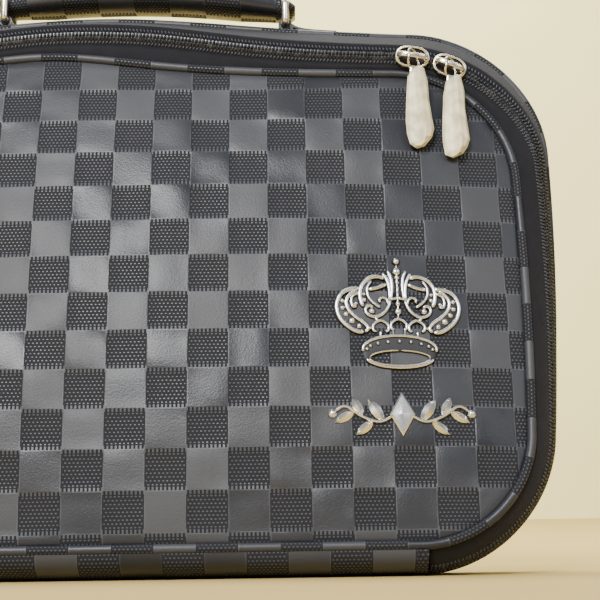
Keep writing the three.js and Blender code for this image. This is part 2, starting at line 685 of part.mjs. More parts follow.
function restAngle(pivot, axis, hang) {
  const back = TAB_THICK / 2 + FIT_GAP + FILM_WALL;
  const foot = EYE_DROP + TAB_LENGTH + FILM_TAIL + 2;
  for (let angle = REST_TRIES.from; angle < REST_TRIES.to; angle += REST_TRIES.step) {
    const { down, out } = pullDirections(axis, hang, angle);
    let clear = true;
    for (let way = EYE_DROP; way < foot; way += 1)
      for (const side of [-TAB_HALF, 0, TAB_HALF]) {
        const p = pivot.clone().addScaledVector(down, way).addScaledVector(axis, side);
        p.addScaledVector(out, -back);
        const face = frontFace(p.x, p.z);
        const rim = frontSeam.top + crestLift(frontSeam, p.x);
        const welt = onSeam(frontSeam, p.x, rim);
        const nearWelt = Math.hypot(p.y - welt.y, p.z - welt.z) < PIPING_RADIUS + PULL_CLEAR;
        const inFace = p.z < rim && p.clone().sub(face).dot(frontOut) < PULL_CLEAR;
        if (nearWelt || inFace) clear = false;
      }
    if (clear) return angle;
  }
  throw new Error("the pull finds no place to rest");
}

// Directions of a pull: straight down turned by hang in the bag's front, then swung out by angle.
function pullDirections(axis, hang, angle) {
  const plumb = at(0, 0, -1);
  plumb.addScaledVector(axis, -plumb.dot(axis)).normalize();
  const outward = plumb.clone().cross(axis).normalize();
  const down = plumb.clone().applyAxisAngle(axis, -rad(angle));
  const out = outward.clone().applyAxisAngle(axis, -rad(angle));
  return { down: down.applyAxisAngle(out, rad(hang)), out };
}

// The swing group's X axis is the bridge's bar, its origin the middle of the bar.
for (const [side, inset, hang] of [
  ["left", SLIDER_INSET_LEFT, PULL_HANG_LEFT],
  ["right", SLIDER_INSET_RIGHT, PULL_HANG_RIGHT],
]) {
  const { p, out: face, along } = chainAt(HALF_WIDTH - inset);
  const axis = along.clone().negate();
  const up = face.clone().cross(axis).normalize();
  const base = p.clone().addScaledVector(face, CHAIN_LIFT + CHAIN_HEIGHT / 2 + SLIDER_CLEAR);
  const slider = add("slider_" + side, sliderGeometry(), NICKEL);
  slider.applyMatrix4(new THREE.Matrix4().makeBasis(axis, up, face).setPosition(base));

  const pivot = base.clone().addScaledVector(face, SLIDER_PLATE + BRIDGE_HEIGHT - BRIDGE_BAR / 2);
  const { down, out } = pullDirections(axis, hang, restAngle(pivot, axis, hang));
  const rise = down.clone().negate();
  const across = out.clone().cross(rise).normalize();
  const place = new THREE.Matrix4().makeBasis(across, out, rise).setPosition(pivot);
  const swing = new THREE.Group();
  swing.applyMatrix4(place);
  bag.add(swing);
  add("pull_" + side, pullGeometry(), NICKEL, swing);
  add("pull_film_" + side, filmGeometry(), FILM, swing);
}

// Handle: the rings stand in the plane across the bag, held by the chapes on top.
const HANDLE_SHARE = 0.5;

function ringPlace(side) {
  const seat = gussetTop(side * RING_REACH, HANDLE_SHARE);
  const lowBar = seat.z + FIT_GAP + CHAPE_FOLD + FIT_GAP + RING_WIRE;
  return { x: side * RING_REACH, y: seat.y, low: lowBar, high: lowBar + RING_HEIGHT };
}

function ringGeometry({ x, y, low, high }) {
  const deep = STRAP_END_WIDTH / 2 + FIT_GAP + RING_WIRE;
  const side = deep - RING_CORNER;
  const corners = [
    { dy: side, z: low + RING_CORNER, from: -90 },
    { dy: side, z: high - RING_CORNER, from: 0 },
    { dy: -side, z: high - RING_CORNER, from: 90 },
    { dy: -side, z: low + RING_CORNER, from: 180 },
  ];
  const frames = corners.flatMap(({ dy, z, from }) =>
    [0, 45, 90].map((step) => {
      const angle = rad(from + step);
      const s = at(0, Math.cos(angle), Math.sin(angle));
      return { p: at(x, y + dy, z).addScaledVector(s, RING_CORNER), s, t: at(1, 0, 0) };
    }),
  );
  return sweep(frames, roundSection(RING_WIRE, RING_SIDES), true);
}

// A round hole or barrel across the bag.
function crossBar(radius, length, x, y, z, sides = 12) {
  return new THREE.CylinderGeometry(radius, radius, length, sides).translate(x, y, z);
}

function handleGeometry(left, right) {
  const reach = RING_REACH + STRAP_TIP;
  const rings = [];
  for (let i = 0; i <= STRAP_STEPS; i++) {
    const share = Math.sin((i / STRAP_STEPS - 0.5) * Math.PI);
    const way = (share + 1) / 2;
    const bar = lerp(left.high, right.high, way);
    const crest = STRAP_CREST * (1 - share ** 2);
    const p = at(share * reach, lerp(left.y, right.y, way), bar - STRAP_DROP + crest);
    const fromTip = 1 - Math.abs(share);
    const wide = clamp((fromTip - STRAP_NECK_FROM) / STRAP_NECK, 0, 1);
    const tip = Math.sqrt(clamp(fromTip / STRAP_TIP_SHARE, STRAP_TIP_THIN, 1));
    const width = lerp(STRAP_END_WIDTH, STRAP_WIDTH, wide);
    const thick = lerp(STRAP_END_THICK, STRAP_THICK, wide) * tip;
    rings.push(padSection(width, thick, thick * 0.28).map(([s, t]) => at(p.x, p.y + s, p.z + t)));
  }
  const hole = ({ x, y, high }) => crossBar(RING_WIRE + FIT_GAP, STRAP_WIDTH * 2, x, y, high);
  return cut(loft(rings), [hole(left), hole(right)]);
}

function chapeGeometry(side, { x, y, low }) {
  const barrel = crossBar(RING_WIRE + FIT_GAP + CHAPE_FOLD, CHAPE_WIDTH, x, y, low);
  const depth = seamTop(rearSeam, x).y - seamTop(middleSeam, x).y;
  const halfShare = CHAPE_WIDTH / 2 / depth;
  const steps = Array.from({ length: CHAPE_STEPS + 1 }, (_, step) => step / CHAPE_STEPS);
  const rows = [-1, -0.5, 0, 0.5, 1].map((across) =>
    steps.map((step) => {
      const px = x + side * CHAPE_LENGTH * step;
      const share = HANDLE_SHARE + across * halfShare;
      return gussetTop(px, share).add(at(0, 0, FIT_GAP + CHAPE_THICK / 2));
    }),
  );
  const tab = sheet(rows, CHAPE_THICK, { lifts: steps.map(() => UP) });
  return cut(joined([barrel, tab]), [crossBar(RING_WIRE + FIT_GAP, CHAPE_WIDTH * 2, x, y, low)]);
}

const ringLeft = ringPlace(-1);
const ringRight = ringPlace(1);
add("ring_left", ringGeometry(ringLeft), NICKEL);
add("ring_right", ringGeometry(ringRight), NICKEL);
add("handle", handleGeometry(ringLeft, ringRight), LEATHER);
add("chape_left", chapeGeometry(-1, ringLeft), DARK_LEATHER);
add("chape_right", chapeGeometry(1, ringRight), DARK_LEATHER);

// Flat metalwork is drawn in x and y from its own foot or centre and stands out along z.
const RIBBON_DETAIL = 0.62; // steps along a ribbon for each of its points

function ribbon(points, half, thick) {
  const curve = new THREE.CatmullRomCurve3(points.map(([x, y]) => at(x, y, 0)));
  const line = curve.getPoints(Math.ceil(points.length * RIBBON_DETAIL));
  const offsets = line.map((p, i) => {
    const along = line[Math.min(i + 1, line.length - 1)].clone().sub(line[Math.max(i - 1, 0)]).normalize();
    return at(-along.y, along.x, 0).multiplyScalar(half);
  });
  const ring = [
    ...line.map((p, i) => p.clone().add(offsets[i])),
    ...line.map((p, i) => p.clone().sub(offsets[i])).reverse(),
  ];
  const shape = new THREE.Shape(ring.map((p) => new THREE.Vector2(p.x, p.y)));
  return new THREE.ExtrudeGeometry(shape, { depth: thick, bevelEnabled: false });
}

function stud(x, y, radius, height) {
  const profile = [[0, 0], [1, 0], [0.8, 0.8], [0, 1]];
  const points = profile.map(([r, h]) => new THREE.Vector2(r * radius, h * height));
  const dome = new THREE.LatheGeometry(points, 5);
  return dome.rotateX(Math.PI / 2).translate(x, y, 0);
}

function plate(points, thick) {
  const shape = new THREE.Shape(points.map(([x, y]) => new THREE.Vector2(x, y)));
  return new THREE.ExtrudeGeometry(shape, { depth: thick, bevelEnabled: false });
}

// Points along part of an ellipse whose middle is on the axis, at height y.
function ellipse({ y, rx, ry, from, to, steps }) {
  return Array.from({ length: steps + 1 }, (_, i) => {
    const angle = rad(lerp(from, to, i / steps));
    return [rx * Math.cos(angle), y + ry * Math.sin(angle)];
  });
}

// Crown: strokes of the right half, mirrored. x is from the axis and y from the foot.
const CROWN_STROKES = [
  { half: 0.75, line: [[3.3, 32.4], [2.4, 39], [2.9, 44.4], [4.4, 47.8]] },
  { half: 0.75, line: [[3.6, 32.4], [3.7, 39], [4.9, 43.6], [6.8, 46.4]] },
  {
    half: 0.9,
    line: [[5.6, 43.6], [8.8, 44.7], [12.6, 43.8], [15.8, 40.9], [17.2, 36.8], [16.9, 32.6], [15.7, 29.6]],
  },
  { half: 0.8, line: [[4.6, 41], [8.8, 39.2], [13.4, 38.1]] },
  { half: 0.6, line: [[11.6, 42.8], [13.7, 39.1], [13.5, 35], [11.3, 31.8], [8, 29.2]] },
  {
    half: 0.7,
    line: [
      [3.3, 33.2], [4.4, 29.7], [7, 26.3], [10.5, 24.7], [13.8, 25.9], [14.9, 28.4], [13.2, 30.2], [11.2, 29],
    ],
  },
  { half: 0.6, line: [[4.4, 30.6], [4.9, 33.2], [6.7, 34.2], [8.4, 33.2], [7.9, 31.6]] },
  {
    half: 0.9,
    line: [
      [16.6, 38.6], [21.7, 38.2], [26, 35.6], [28, 30.3], [27, 25], [23.9, 20.9], [19.6, 17.9], [15.6, 17.3],
    ],
  },
  {
    half: 0.8,
    line: [
      [15.6, 17.3], [14, 19.1], [15.6, 21.8], [19.8, 25], [23.1, 29.1], [23.4, 33.2], [21, 36.4], [18.6, 38],
    ],
  },
  { half: 0.6, line: [[17.2, 36.6], [20.4, 35], [21.3, 32], [20.4, 29.6], [18.6, 30]] },
  { half: 0.7, line: [[10.8, 25], [9, 22]] },
  { half: 0.6, line: [[0, 34], [3.6, 33.4]] },
  { half: 0.6, line: [[10.9, 19.6], [14.4, 19]] },
  { half: 0.6, line: [[8.2, 18], [8.6, 15]] },
];
const CROWN_BEADS = [
  { x: 15.4, y: 35.8, r: 1 }, { x: 15.3, y: 33, r: 1.2 }, { x: 11.9, y: 27.6, r: 1.5 },
  { x: 19.3, y: 31, r: 1.1 }, { x: 25.3, y: 32.4, r: 1.2 }, { x: 25.3, y: 29, r: 1.3 },
  { x: 23.8, y: 25.9, r: 1.4 }, { x: 21.2, y: 22.8, r: 1.7 }, { x: 18, y: 20.2, r: 1.4 },
];
const CROWN_COLUMN = [
  { y: 27.5, r: 1.8 }, { y: 31.2, r: 1.4 }, { y: 34.2, r: 1.1 }, { y: 36.8, r: 0.9 }, { y: 39.2, r: 0.9 },
  { y: 41.8, r: 1.1 }, { y: 44.3, r: 1.4 }, { y: 47.4, r: 2.1 }, { y: 52.5, r: 1.8 },
];
const CROWN_SCROLL = [[-1.9, -2], [-3.4, -1.2], [-3.2, 1.4], [0, 3.4], [3.2, 1.4], [3.4, -1.2], [1.9, -2]];
const CROWN_SCROLL_HALF = 0.6;
const CROWN_RIM_HALF = 0.7;
const CROWN_BEAD_RADIUS = 0.85;
const CROWN_SCROLLS = [{ x: -8.2, y: 19.6 }, { x: 0, y: 20.4 }, { x: 8.2, y: 19.6 }];
const CROWN_LINKS = [
  { half: 0.6, line: [[0, 22], [0, 53]] },
  { half: 0.6, line: [[2.7, 18.6], [2.7, 15]] },
  { half: 0.6, line: [[-2.7, 18.6], [-2.7, 15]] },
];
// Parts of ellipses, in degrees: the band's upper and lower edges, the rim on it, its beads and its mouth.
const CROWN_BAND_TOP = { y: 9.2, rx: 17.2, ry: 7, from: 0, to: 180, steps: 10 };
const CROWN_BAND_FOOT = { y: 5.2, rx: 15.9, ry: 5.4, from: 180, to: 360, steps: 10 };
const CROWN_RIM = { y: 9.2, rx: 16.7, ry: 6.5, from: -12, to: 192, steps: 10 };
const CROWN_BEAD_ROW = { y: 8.6, rx: 14.9, ry: 4.2, from: 8, to: 172, steps: 8 };
const CROWN_MOUTH = { y: 5, rx: 13, ry: 3.1, from: 0, to: 330, steps: 11 };
// Thin ground behind the beads of the outer and the inner arch.
const CROWN_WEBS = [
  [
    [15.6, 17.3], [19.6, 17.9], [23.9, 20.9], [27, 25], [28, 30.3], [26, 35.6],
    [23.1, 29.1], [19.8, 25], [15.6, 21.8],
  ],
  [[11.6, 42.8], [13.7, 39.1], [13.5, 35], [15.7, 30], [17.2, 36.8], [15.8, 40.9]],
];

function crownGeometry() {
  const low = CROWN_THICK * CROWN_LOW;
  const ground = CROWN_THICK * CROWN_GROUND;
  const pieces = [];
  const mirrored = (points, side) => points.map(([x, y]) => [side * x, y]);
  for (const side of [1, -1]) {
    for (const { half, line } of CROWN_STROKES) pieces.push(ribbon(mirrored(line, side), half, low));
    for (const { x, y, r } of CROWN_BEADS) pieces.push(stud(side * x, y, r, CROWN_THICK));
    for (const web of CROWN_WEBS) {
      const outline = mirrored(web, side);
      pieces.push(plate(side > 0 ? outline : outline.reverse(), ground));
    }
  }
  for (const { y, r } of CROWN_COLUMN) pieces.push(stud(0, y, r, CROWN_THICK));
  for (const { half, line } of CROWN_LINKS) pieces.push(ribbon(line, half, low));
  for (const { x, y } of CROWN_SCROLLS)
    pieces.push(ribbon(CROWN_SCROLL.map(([dx, dy]) => [x + dx, y + dy]), CROWN_SCROLL_HALF, low));
  pieces.push(plate([...ellipse(CROWN_BAND_TOP), ...ellipse(CROWN_BAND_FOOT)], ground));
  pieces.push(ribbon(ellipse(CROWN_RIM), CROWN_RIM_HALF, low));
  for (const [x, y] of ellipse(CROWN_BEAD_ROW)) pieces.push(stud(x, y, CROWN_BEAD_RADIUS, CROWN_THICK));
  const mouth = plate(ellipse(CROWN_MOUTH), CROWN_THICK * 3).translate(0, 0, -CROWN_THICK);
  return cut(joined(pieces), [mouth]);
}

// Sprig: a lozenge with two leafy stems, mirrored left and right.
const SPRIG_STEM = [[3, 0], [10, -3.4], [18, -1], [25, 3.6], [30, 1.4]];
const SPRIG_LEAVES = [
  { x: 8.4, y: -3, turn: 56, length: 12 },
  { x: 13, y: -3.2, turn: -38, length: 10 },
  { x: 17.6, y: -0.6, turn: 62, length: 10 },
  { x: 21.4, y: 1.2, turn: -30, length: 10 },
];

const SPRIG_LOZENGE = [[5.6, 0], [0, 10], [-5.6, 0], [0, -10]];
const SPRIG_STEM_HALF = 0.8;
const SPRIG_BUD = { x: 31, y: 0.4, r: 2.2 };
const STEM_SHARE = 0.7; // shares of SPRIG_THICK
const LEAF_SHARE = 0.85;
// A leaf's outline, as shares of its length.
const LEAF_OUTLINE = [
  [0, 0], [0.25, 0.17], [0.55, 0.2], [0.82, 0.11], [1, 0], [0.82, -0.11], [0.55, -0.2], [0.25, -0.17],
];

function leaf({ x, y, turn, length }, side, thick) {
  const points = LEAF_OUTLINE.map(([a, b]) => {
    const v = new THREE.Vector2(a * length, b * length).rotateAround(new THREE.Vector2(), rad(turn));
    return [side * (x + v.x), y + v.y];
  });
  return plate(side > 0 ? points : points.reverse(), thick);
}

function sprigGeometry() {
  const pieces = [plate(SPRIG_LOZENGE, SPRIG_THICK)];
  for (const side of [1, -1]) {
    const stem = SPRIG_STEM.map(([x, y]) => [side * x, y]);
    pieces.push(ribbon(stem, SPRIG_STEM_HALF, SPRIG_THICK * STEM_SHARE));
    pieces.push(stud(side * SPRIG_BUD.x, SPRIG_BUD.y, SPRIG_BUD.r, SPRIG_THICK));
    for (const one of SPRIG_LEAVES) pieces.push(leaf(one, side, SPRIG_THICK * LEAF_SHARE));
  }
  return joined(pieces);
}

const emblemX = HALF_WIDTH - FRONT_INSET_SIDE - EMBLEM_INSET;
const alongPanel = (height) => height * Math.cos(rad(LEAN_FRONT));
const crown = add("crown", crownGeometry().translate(0, -CROWN_MIDDLE, 0), SILVER);
crown.applyMatrix4(frontFrame(emblemX, alongPanel(CROWN_BASE + CROWN_MIDDLE)));
const ornament = add("ornament", sprigGeometry(), SILVER);
ornament.applyMatrix4(frontFrame(emblemX, alongPanel(SPRIG_HEIGHT)));

export default bag;
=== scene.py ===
# %% [markdown]
# # A checkered tallit bag
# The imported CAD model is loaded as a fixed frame, and every piece of it then gets a finished surface.
# All sizes are in metres, +Z is up and the front of the bag faces -Y.

# %% Load the frame
import json
import math

import bmesh
import bpy
import numpy as np
from mathutils import Matrix, Vector, noise
from mathutils.geometry import delaunay_2d_cdt


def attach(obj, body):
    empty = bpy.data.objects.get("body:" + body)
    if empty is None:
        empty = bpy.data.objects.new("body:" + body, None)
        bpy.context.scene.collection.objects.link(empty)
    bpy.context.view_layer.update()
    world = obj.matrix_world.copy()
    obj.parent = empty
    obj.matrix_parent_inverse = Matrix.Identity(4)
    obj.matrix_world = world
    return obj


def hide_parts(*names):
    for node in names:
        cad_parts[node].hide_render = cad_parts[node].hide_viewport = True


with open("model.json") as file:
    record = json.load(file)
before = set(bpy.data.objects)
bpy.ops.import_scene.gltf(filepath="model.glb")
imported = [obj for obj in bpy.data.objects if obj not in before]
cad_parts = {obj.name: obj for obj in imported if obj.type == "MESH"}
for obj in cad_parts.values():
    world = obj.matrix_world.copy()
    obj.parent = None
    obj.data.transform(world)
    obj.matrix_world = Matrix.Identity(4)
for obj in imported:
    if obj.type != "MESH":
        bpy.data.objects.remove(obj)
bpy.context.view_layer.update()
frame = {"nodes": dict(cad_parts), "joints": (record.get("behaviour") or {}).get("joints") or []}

MM = 0.001
CHECK = 18.2 * MM  # one square of the embossed pattern

# %% [markdown]
# ## Camera
# The bag was photographed from close by, a little above the table and looking slightly up. The lens and
# the place were worked out from the squares of the pattern, so the camera comes before anything else.

# %% Camera at the photographed angle
CAMERA_PLACE = Vector((0.0721, -0.6703, 0.0137))
CAMERA_PITCH, CAMERA_YAW, CAMERA_ROLL = (math.radians(a) for a in (9.84, -0.4, -0.86))
LENS, SENSOR = 85.08, 36  # millimetres


def camera_axes(pitch, yaw, roll):
    ahead = Vector((-math.sin(yaw) * math.cos(pitch), math.cos(yaw) * math.cos(pitch), math.sin(pitch)))
    right = Vector((math.cos(yaw), math.sin(yaw), 0))
    up = right.cross(ahead)
    c, s = math.cos(roll), math.sin(roll)
    return right * c + up * s, up * c - right * s, -ahead


lens_data = bpy.data.cameras.new("camera")
lens_data.lens, lens_data.sensor_width = LENS, SENSOR
camera = bpy.data.objects.new("camera", lens_data)
turn = Matrix(camera_axes(CAMERA_PITCH, CAMERA_YAW, CAMERA_ROLL)).transposed()
camera.matrix_world = Matrix.Translation(CAMERA_PLACE) @ turn.to_4x4()
bpy.context.scene.collection.objects.link(camera)
bpy.context.scene.camera = camera
print("camera", [round(v, 3) for v in CAMERA_PLACE])

# %% [markdown]
# ## Helpers for meshes
# Most pieces of a bag are sheets and tubes: rows of points joined by four-cornered faces. One helper turns
# an array of rows into a mesh, with a UV map called cloth. The map runs along the material, so the embossed
# squares and the weave follow each piece as real cloth does.


# %% Rows of points to a piece
def to_object(name, mesh):
    piece = bpy.data.objects.new(name, mesh)
    bpy.context.scene.collection.objects.link(piece)
    return piece


def tidy_faces(piece, close=True):
    """Merges doubles, closes open ends and turns the faces outwards."""
    work = bmesh.new()
    work.from_mesh(piece.data)
    bmesh.ops.remove_doubles(work, verts=work.verts, dist=1e-7)
    if close:
        bmesh.ops.holes_fill(work, edges=[e for e in work.edges if e.is_boundary], sides=0)
    bmesh.ops.recalc_face_normals(work, faces=work.faces)
    work.to_mesh(piece.data)
    work.free()


def grid_piece(name, points, uv=None, loop_rows=False, loop_cols=False, close=False):
    """A piece through points[row, column]. uv has one more row or column where the grid closes on itself."""
    rows, cols = points.shape[:2]
    r, c = np.meshgrid(
        np.arange(rows if loop_rows else rows - 1), np.arange(cols if loop_cols else cols - 1), indexing="ij"
    )
    corners = [(r, c), (r, c + 1), (r + 1, c + 1), (r + 1, c)]
    faces = np.stack([(a % rows) * cols + b % cols for a, b in corners], -1).reshape(-1, 4)
    mesh = bpy.data.meshes.new(name)
    mesh.from_pydata(points.reshape(-1, 3).tolist(), [], faces.tolist())
    if uv is not None:
        places = np.stack([a * uv.shape[1] + b for a, b in corners], -1).reshape(-1)
        mesh.uv_layers.new(name="cloth").data.foreach_set("uv", uv.reshape(-1, 2)[places].ravel())
    piece = to_object(name, mesh)
    tidy_faces(piece, close)
    return piece


def note(mesh, name, values, kind="FLOAT"):
    """Keeps a number, or a direction, for each point of a mesh."""
    layer = mesh.attributes.new(name, kind, "POINT").data
    layer.foreach_set("value" if kind == "FLOAT" else "vector", np.ravel(values))


def settle(piece):
    """Turns live modifiers into plain mesh."""
    graph = bpy.context.evaluated_depsgraph_get()
    mesh = bpy.data.meshes.new_from_object(piece.evaluated_get(graph))
    piece.modifiers.clear()
    piece.data = mesh


def give_wall(piece, thickness, offset=0.0):
    """Gives a sheet its thickness. Offset -1 keeps the outer face where the sheet is."""
    wall = piece.modifiers.new("wall", "SOLIDIFY")
    wall.thickness, wall.offset, wall.use_even_offset = thickness, offset, True
    settle(piece)


# %% Finishing a piece
def dress(piece, finish, slot, *nodes, body="bag", crease=None):
    """Gives a piece its finish, puts it on its body and lets it stand for its CAD nodes. The slot is not
    used.
    """
    piece.data.materials.clear()
    piece.data.materials.append(finish)
    piece.data.shade_smooth()
    if crease:
        piece.data.set_sharp_from_angle(angle=math.radians(crease))
    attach(piece, body)
    if nodes:
        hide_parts(*nodes)
    print(piece.name, len(piece.data.polygons), "faces")
    return piece


def stretched(piece, flat, *rests_on):
    """Prints the flat size of a sheet that is held stretched."""
    flat = tuple(float(v) for v in flat)
    print(piece.name, "flat", [round(v, 4) for v in flat])


# %% [markdown]
# ## Seams
# Three seams run round the bag. Each one is a rounded outline in a plane that leans back a little, with a
# soft hump in its top edge. Everything else is stretched between them, so they are made first, finely.

# %% The three seams
SEAMS = {
    "front": dict(half=178, bulge=4.5, taper=3, bottom=13.3, top=240.5, radius=55, foot=48,
                  crest=13, crest_at=-45, spread=63, y=-53, lean=12),
    "middle": dict(half=195.5, bulge=7.5, taper=13, bottom=2.3, top=260.5, radius=60, foot=57,
                   crest=16.5, crest_at=-20, spread=110, y=-27.5, lean=9),
    "rear": dict(half=195.5, bulge=7.5, taper=13, bottom=2.3, top=261, radius=60, foot=57,
                 crest=16.5, crest_at=-20, spread=110, y=27.5, lean=3),
}
STEPS = dict(hinge=25, end=2, corner=27, side=24, top=44)
HINGE_STEPS = STEPS["hinge"] + STEPS["end"]
HINGE_TURN = 3  # degrees of each lower corner that the hinge strip covers


def crest_lift(seam, x):
    return seam["crest"] / (1 + ((x - seam["crest_at"]) / seam["spread"]) ** 2)


def lerp(a, b, share):
    return a + (b - a) * share


def unit(v):
    return v / np.linalg.norm(v, axis=-1, keepdims=True)


def seam_loop(seam):
    """Points and outward directions of a seam, anticlockwise from the middle of the bottom."""
    half, bottom, top, radius, foot = (seam[k] for k in ("half", "bottom", "top", "radius", "foot"))
    right = []

    def line(x0, z0, x1, z1, steps):
        right.extend([lerp(x0, x1, i / steps), lerp(z0, z1, i / steps)] for i in range(steps))

    def arc(cx, cz, size, start, stop, steps):
        for i in range(steps):
            a = math.radians(lerp(start, stop, i / steps))
            right.append([cx + size * math.cos(a), cz + size * math.sin(a)])

    line(0, bottom, half - foot, bottom, STEPS["hinge"])
    arc(half - foot, bottom + foot, foot, -90, HINGE_TURN - 90, STEPS["end"])
    arc(half - foot, bottom + foot, foot, HINGE_TURN - 90, 0, STEPS["corner"])
    line(half, bottom + foot, half, top - radius, STEPS["side"])
    arc(half - radius, top - radius, radius, 0, 90, STEPS["corner"])
    line(half - radius, top, 0, top, STEPS["top"])
    flat = np.array(right + [[0, top]] + [[-x, z] for x, z in reversed(right[1:])])
    x, z = flat.T
    share = (z - bottom) / (top - bottom)
    middle = 2 * share - 1
    wide = x * (1 + (seam["bulge"] * (1 - middle**2) - seam["taper"] * (1 - share)) / half)
    high = z + crest_lift(seam, x) * np.clip(middle, 0, 1) ** 3
    points = np.stack([wide, seam["y"] + high * math.tan(math.radians(seam["lean"])), high], -1) * MM
    run = np.roll(points, -1, 0) - np.roll(points, 1, 0)
    outward = unit(np.stack([run[:, 2], 0 * run[:, 0], -run[:, 0]], -1))
    return points, outward


(front, front_out), (middle, middle_out), (rear, rear_out) = (seam_loop(s) for s in SEAMS.values())
COUNT = len(front)


def lengths(points, closed=False):
    """Distance along a row of points, with the way back to the start if it is closed."""
    row = np.vstack([points, points[:1]]) if closed else points
    return np.concatenate([[0], np.cumsum(np.linalg.norm(np.diff(row, axis=0), axis=1))])


def widths(grid):
    """Mean distance from the first row of a grid to each row."""
    return np.concatenate([[0], np.cumsum(np.linalg.norm(np.diff(grid, axis=0), axis=-1).mean(1))])


def uv_grid(rows, cols):
    """A UV map from the place of each row and each column."""
    return np.stack(np.meshgrid(rows, cols, indexing="ij"), -1)


print("seams:", COUNT, "points,", round(float(lengths(front, True)[-1]), 3), "m round the front")

# %% [markdown]
# ## Finishes
# Each finish is a small tree of nodes. A few helpers keep the trees readable: one makes a node, ordinary
# plus, minus and times signs make sums, and one turns a range of numbers into a soft step.


# %% Node helpers
class Value:
    """What a node works out. Signs of sums join it to another one, or to a number, by a Math node."""

    def __init__(self, tree, socket):
        self.tree, self.socket = tree, socket

    def do(self, operation, *others, **settings):
        return node(self.tree, "ShaderNodeMath", enumerate((self, *others)), operation=operation, **settings)

    def __add__(self, other):
        return self.do("ADD", other)

    def __sub__(self, other):
        return self.do("SUBTRACT", other)

    def __mul__(self, other):
        return self.do("MULTIPLY", other)

    def __truediv__(self, other):
        return self.do("DIVIDE", other)

    def flip(self):
        """One minus this."""
        return node(self.tree, "ShaderNodeMath", {0: 1.0, 1: self}, operation="SUBTRACT")


def node(tree, kind, inputs=(), output=0, **settings):
    made = tree.nodes.new(kind)
    for key, value in settings.items():
        setattr(made, key, value)
    for key, value in dict(inputs).items():
        put(made, key, value)
    return Value(tree, made.outputs[output])


def put(made, key, value):
    """Links a worked-out value to a node's input, or writes a plain one in."""
    if isinstance(value, Value):
        value.tree.links.new(value.socket, made.inputs[key])
    else:
        made.inputs[key].default_value = value


def step(value, low, high, to_low=0.0, to_high=1.0):
    keys = {"Value": value, "From Min": low, "From Max": high, "To Min": to_low, "To Max": to_high}
    return node(value.tree, "ShaderNodeMapRange", keys, interpolation_type="SMOOTHSTEP")


def mix(share, first, second):
    """A colour between two colours. Inputs 0, 6 and 7 are the share and the two colours."""
    return node(share.tree, "ShaderNodeMix", {0: share, 6: first, 7: second}, 2, data_type="RGBA")


def bump(height, distance, strength=1.0):
    return node(height.tree, "ShaderNodeBump", {"Height": height, "Distance": distance, "Strength": strength})


def new_finish(name, **sockets):
    made = bpy.data.materials.new(name)
    made.use_nodes = True
    return fill(made, **sockets)


def fill(made, **sockets):
    """Sets or links sockets of a finish's shader."""
    for key, value in sockets.items():
        put(made.node_tree.nodes["Principled BSDF"], key.replace("_", " "), value)
    return made


def noise_at(made, scale, detail=2.0, stretch=None):
    """Soft noise on the piece's own coordinates, in metres."""
    tree = made.node_tree
    place = node(tree, "ShaderNodeTexCoord", output="Object")
    if stretch:
        place = node(tree, "ShaderNodeMapping", {"Vector": place, "Scale": stretch})
    return node(tree, "ShaderNodeTexNoise", {"Vector": place, "Scale": scale, "Detail": detail})


def cloth_map(made):
    """The two directions of the UV map."""
    tree = made.node_tree
    both = node(tree, "ShaderNodeSeparateXYZ", {0: node(tree, "ShaderNodeUVMap", uv_map="cloth")})
    return [Value(tree, socket) for socket in both.socket.node.outputs[:2]]


def rgb(r, g, b):
    return (r, g, b, 1)


def darker(tone, share):
    return (*(c * share for c in tone[:3]), 1)


# %% [markdown]
# ### Embossed leatherette
# The cloth is a coated leatherette pressed in squares: one smooth with a fine grain, the next with a
# staggered field of small oval dots, like twill. A photo texture would be easy but it can't be reused at
# another size, so the squares, dots and ticks along the edges are worked out from the UV map. Each smooth
# square gets a random tone between a shaded and a lit one, which is painted light and shade for squares
# that lean towards the light by different amounts, and a thin painted highlight runs along its edges.

# %% Leatherette
# The two smooth tones are a shaded and a lit copy of one colour, mixed square by square as painted light and
# shade.
SMOOTH_SHADED, SMOOTH_LIT = rgb(0.011, 0.013, 0.020), rgb(0.044, 0.047, 0.056)
SUNK_TONE, DOT_TONE = rgb(0.006, 0.0068, 0.0105), rgb(0.052, 0.060, 0.080)
# The edge tone is a painted highlight along the raised edges of the smooth squares.
EDGE_HIGHLIGHT_TONE, TICK_TONE = rgb(0.072, 0.078, 0.092), rgb(0.002, 0.002, 0.003)
WORN_TONE = rgb(0.07, 0.07, 0.075)
DOTS_ACROSS, DOTS_DOWN = 10.0, 11.0
DOT_WIDE, DOT_HIGH = 0.32, 0.25  # half sizes of a dot, in steps of the dots
TICK_BAND, TICK_EDGE = 0.10, 0.085  # depth of the row of ticks, in squares


def checker(made):
    """Fractions inside a square, its smoothness (0 or 1), distances to its edges and its own random pick."""
    across, down = cloth_map(made)
    column, row = across.do("FLOOR"), down.do("FLOOR")
    smooth = (column + row).do("PINGPONG", 1.0)
    fa, fd = across.do("FRACT"), down.do("FRACT")
    near_a, near_d = (v.do("MINIMUM", v.flip()) for v in (fa, fd))
    square = node(made.node_tree, "ShaderNodeCombineXYZ", {0: column, 1: row})
    pick = node(made.node_tree, "ShaderNodeTexWhiteNoise", {"Vector": square}, "Value", noise_dimensions="2D")
    return fa, fd, smooth, near_a, near_d, pick


